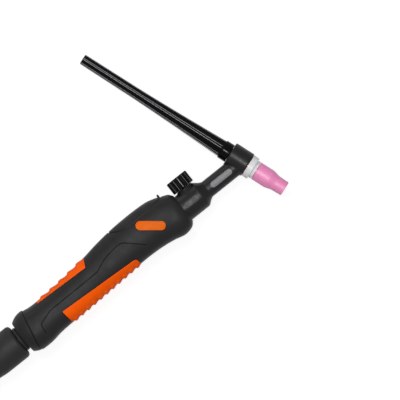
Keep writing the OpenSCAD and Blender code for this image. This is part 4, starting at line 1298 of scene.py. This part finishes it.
class TORCH_OT_stage(bpy.types.Operator):
    """Set the floor, the lamps, the surroundings and the camera"""
    bl_idname = "torch.stage"
    bl_label = "Stage"

    def execute(self, context):
        stage = context.scene.torch_stage
        build_floor()
        build_world(stage.world_level)
        build_lamps(stage)
        build_camera(stage)
        context.scene.view_settings.view_transform = "Standard"
        return {"FINISHED"}


# ---------- stage ----------

PICTURE_SIZE = 400
ORIGIN_PIXEL = (241.54, 161.23)      # where the torch's origin falls in the picture


def picture_axes(stage):
    """The picture's right and up directions in the row frame."""
    c, s = math.cos(stage.roll), math.sin(stage.roll)
    return Vector((c, -s, 0)), Vector((s, c, 0))


def looked_at(tree):
    """1 where a ray comes from the camera, a mirror or a clear piece, else 0."""
    path = add_node(tree, "ShaderNodeLightPath")
    seen = path.outputs["Is Camera Ray"]
    for kind in ("Is Glossy Ray", "Is Transmission Ray"):
        seen = add_node(tree, "ShaderNodeMath", operation="MAXIMUM",
                        links={0: seen, 1: path.outputs[kind]}).outputs[0]
    return seen


def build_floor():
    """A pale floor under the torch. It adds its own light only where it is looked at, so
    that it stays white round the soft shadow."""
    size, clearance, grey, glow_level = 3, 0.2 * MM, 0.35, 0.72
    mesh = bpy.data.meshes.new("floor")
    work = bmesh.new()
    bmesh.ops.create_grid(work, x_segments=1, y_segments=1, size=size)
    lowest = CAD_BOX[0][2]
    bmesh.ops.translate(work, verts=work.verts, vec=(0, 0, lowest - clearance))
    work.to_mesh(mesh)
    work.free()
    floor = add_object("floor", mesh)
    paper = bpy.data.materials.new("matt_paper")
    paper.use_nodes = True
    tree = paper.node_tree
    tree.nodes.clear()
    diffuse = add_node(tree, "ShaderNodeBsdfDiffuse", inputs={"Color": (grey, grey, grey, 1)})
    level = add_node(tree, "ShaderNodeMath", operation="MULTIPLY",
                     links={0: looked_at(tree)}, inputs={1: glow_level})
    glow = add_node(tree, "ShaderNodeEmission", links={"Strength": level.outputs[0]})
    both = add_node(tree, "ShaderNodeAddShader",
                    links={0: diffuse.outputs[0], 1: glow.outputs[0]})
    add_node(tree, "ShaderNodeOutputMaterial", links={"Surface": both.outputs[0]})
    mesh.materials.append(paper)


def build_world(level):
    """Soft even surroundings that show white where they are looked at."""
    world = bpy.data.worlds.new("studio")
    bpy.context.scene.world = world
    world.use_nodes = True
    tree = world.node_tree
    tree.nodes.clear()
    strength = add_node(tree, "ShaderNodeMapRange", links={"Value": looked_at(tree)},
                        inputs={"To Min": level, "To Max": 1.0})
    back = add_node(tree, "ShaderNodeBackground", links={"Strength": strength.outputs[0]},
                    inputs={"Color": (1, 1, 1, 1)})
    add_node(tree, "ShaderNodeOutputWorld", links={"Surface": back.outputs[0]})


def add_lamp(name, place, aim, width, length, power):
    """A soft rectangular lamp aimed at a point."""
    lamp = bpy.data.lights.new(name, "AREA")
    lamp.shape = "RECTANGLE"
    lamp.size = width
    lamp.size_y = length
    lamp.energy = power
    holder = add_object(name, lamp)
    holder.location = place
    holder.rotation_euler = (aim - place).to_track_quat("-Z", "Y").to_euler()


def build_lamps(stage):
    """A soft key lamp over the upper left of the picture, a lamp right overhead, which draws
    the lines along round pieces, and a low one that lights their upper edges."""
    right, up = picture_axes(stage)
    middle = Vector((-0.09, 0.02, 0))        # of what the picture shows, in metres
    high = Vector((0, 0, 1))
    add_lamp("key_lamp", middle + high * 1.3 - right * 0.25 + up * 0.45, middle, 0.7, 0.5,
             stage.key_power)
    add_lamp("top_lamp", middle + high * 3.0, middle, 0.34, 0.34, stage.top_power)
    add_lamp("rim_lamp", middle + high * 0.25 - right * 0.8 + up * 1.0, middle, 0.8, 0.4,
             stage.rim_power)


def build_camera(stage):
    """The camera looks straight down on the torch's left side, rolled to the picture."""
    sensor = 36
    right, up = picture_axes(stage)
    per_pixel = stage.frame_width / PICTURE_SIZE
    shift_right = (PICTURE_SIZE / 2 - ORIGIN_PIXEL[0]) * per_pixel
    shift_up = (ORIGIN_PIXEL[1] - PICTURE_SIZE / 2) * per_pixel
    data = bpy.data.cameras.new("camera")
    data.sensor_width = sensor
    data.lens = sensor * stage.camera_height / stage.frame_width
    data.clip_end = 50
    camera = add_object("camera", data)
    turn = Matrix((right, up, Vector((0, 0, 1)))).transposed().to_4x4()
    spot = right * shift_right + up * shift_up + Vector((0, 0, stage.camera_height))
    camera.matrix_world = Matrix.Translation(spot) @ turn
    bpy.context.scene.camera = camera


# ---------- panel and registration ----------

OPERATORS = [TORCH_OT_stage, TORCH_OT_shells, TORCH_OT_grips, TORCH_OT_badge, TORCH_OT_lever,
             TORCH_OT_neck, TORCH_OT_valve_knob, TORCH_OT_electrode_line, TORCH_OT_knuckle,
             TORCH_OT_inner_parts]
SETTINGS = {"torch_shape": TorchShapeSettings, "torch_finish": TorchFinishSettings,
            "torch_stage": TorchStageSettings}


class TORCH_PT_panel(bpy.types.Panel):
    """Lists the torch's pieces and settings"""
    bl_label = "TIG torch"
    bl_idname = "TORCH_PT_panel"
    bl_space_type = "VIEW_3D"
    bl_region_type = "UI"
    bl_category = "TIG torch"

    def draw(self, context):
        for operator in OPERATORS:
            self.layout.operator(operator.bl_idname)
        for name, group in SETTINGS.items():
            box = self.layout.box()
            for key in group.__annotations__:
                box.prop(getattr(context.scene, name), key)


def register():
    for group in SETTINGS.values():
        bpy.utils.register_class(group)
    for name, group in SETTINGS.items():
        setattr(bpy.types.Scene, name, bpy.props.PointerProperty(type=group))
    for operator in OPERATORS:
        bpy.utils.register_class(operator)
    bpy.utils.register_class(TORCH_PT_panel)


def unregister():
    bpy.utils.unregister_class(TORCH_PT_panel)
    for operator in reversed(OPERATORS):
        bpy.utils.unregister_class(operator)
    for name in SETTINGS:
        delattr(bpy.types.Scene, name)
    for group in reversed(SETTINGS.values()):
        bpy.utils.unregister_class(group)


def main():
    register()
    for operator in OPERATORS:
        group, action = operator.bl_idname.split(".")
        getattr(getattr(bpy.ops, group), action)()


if __name__ == "__main__":
    main()
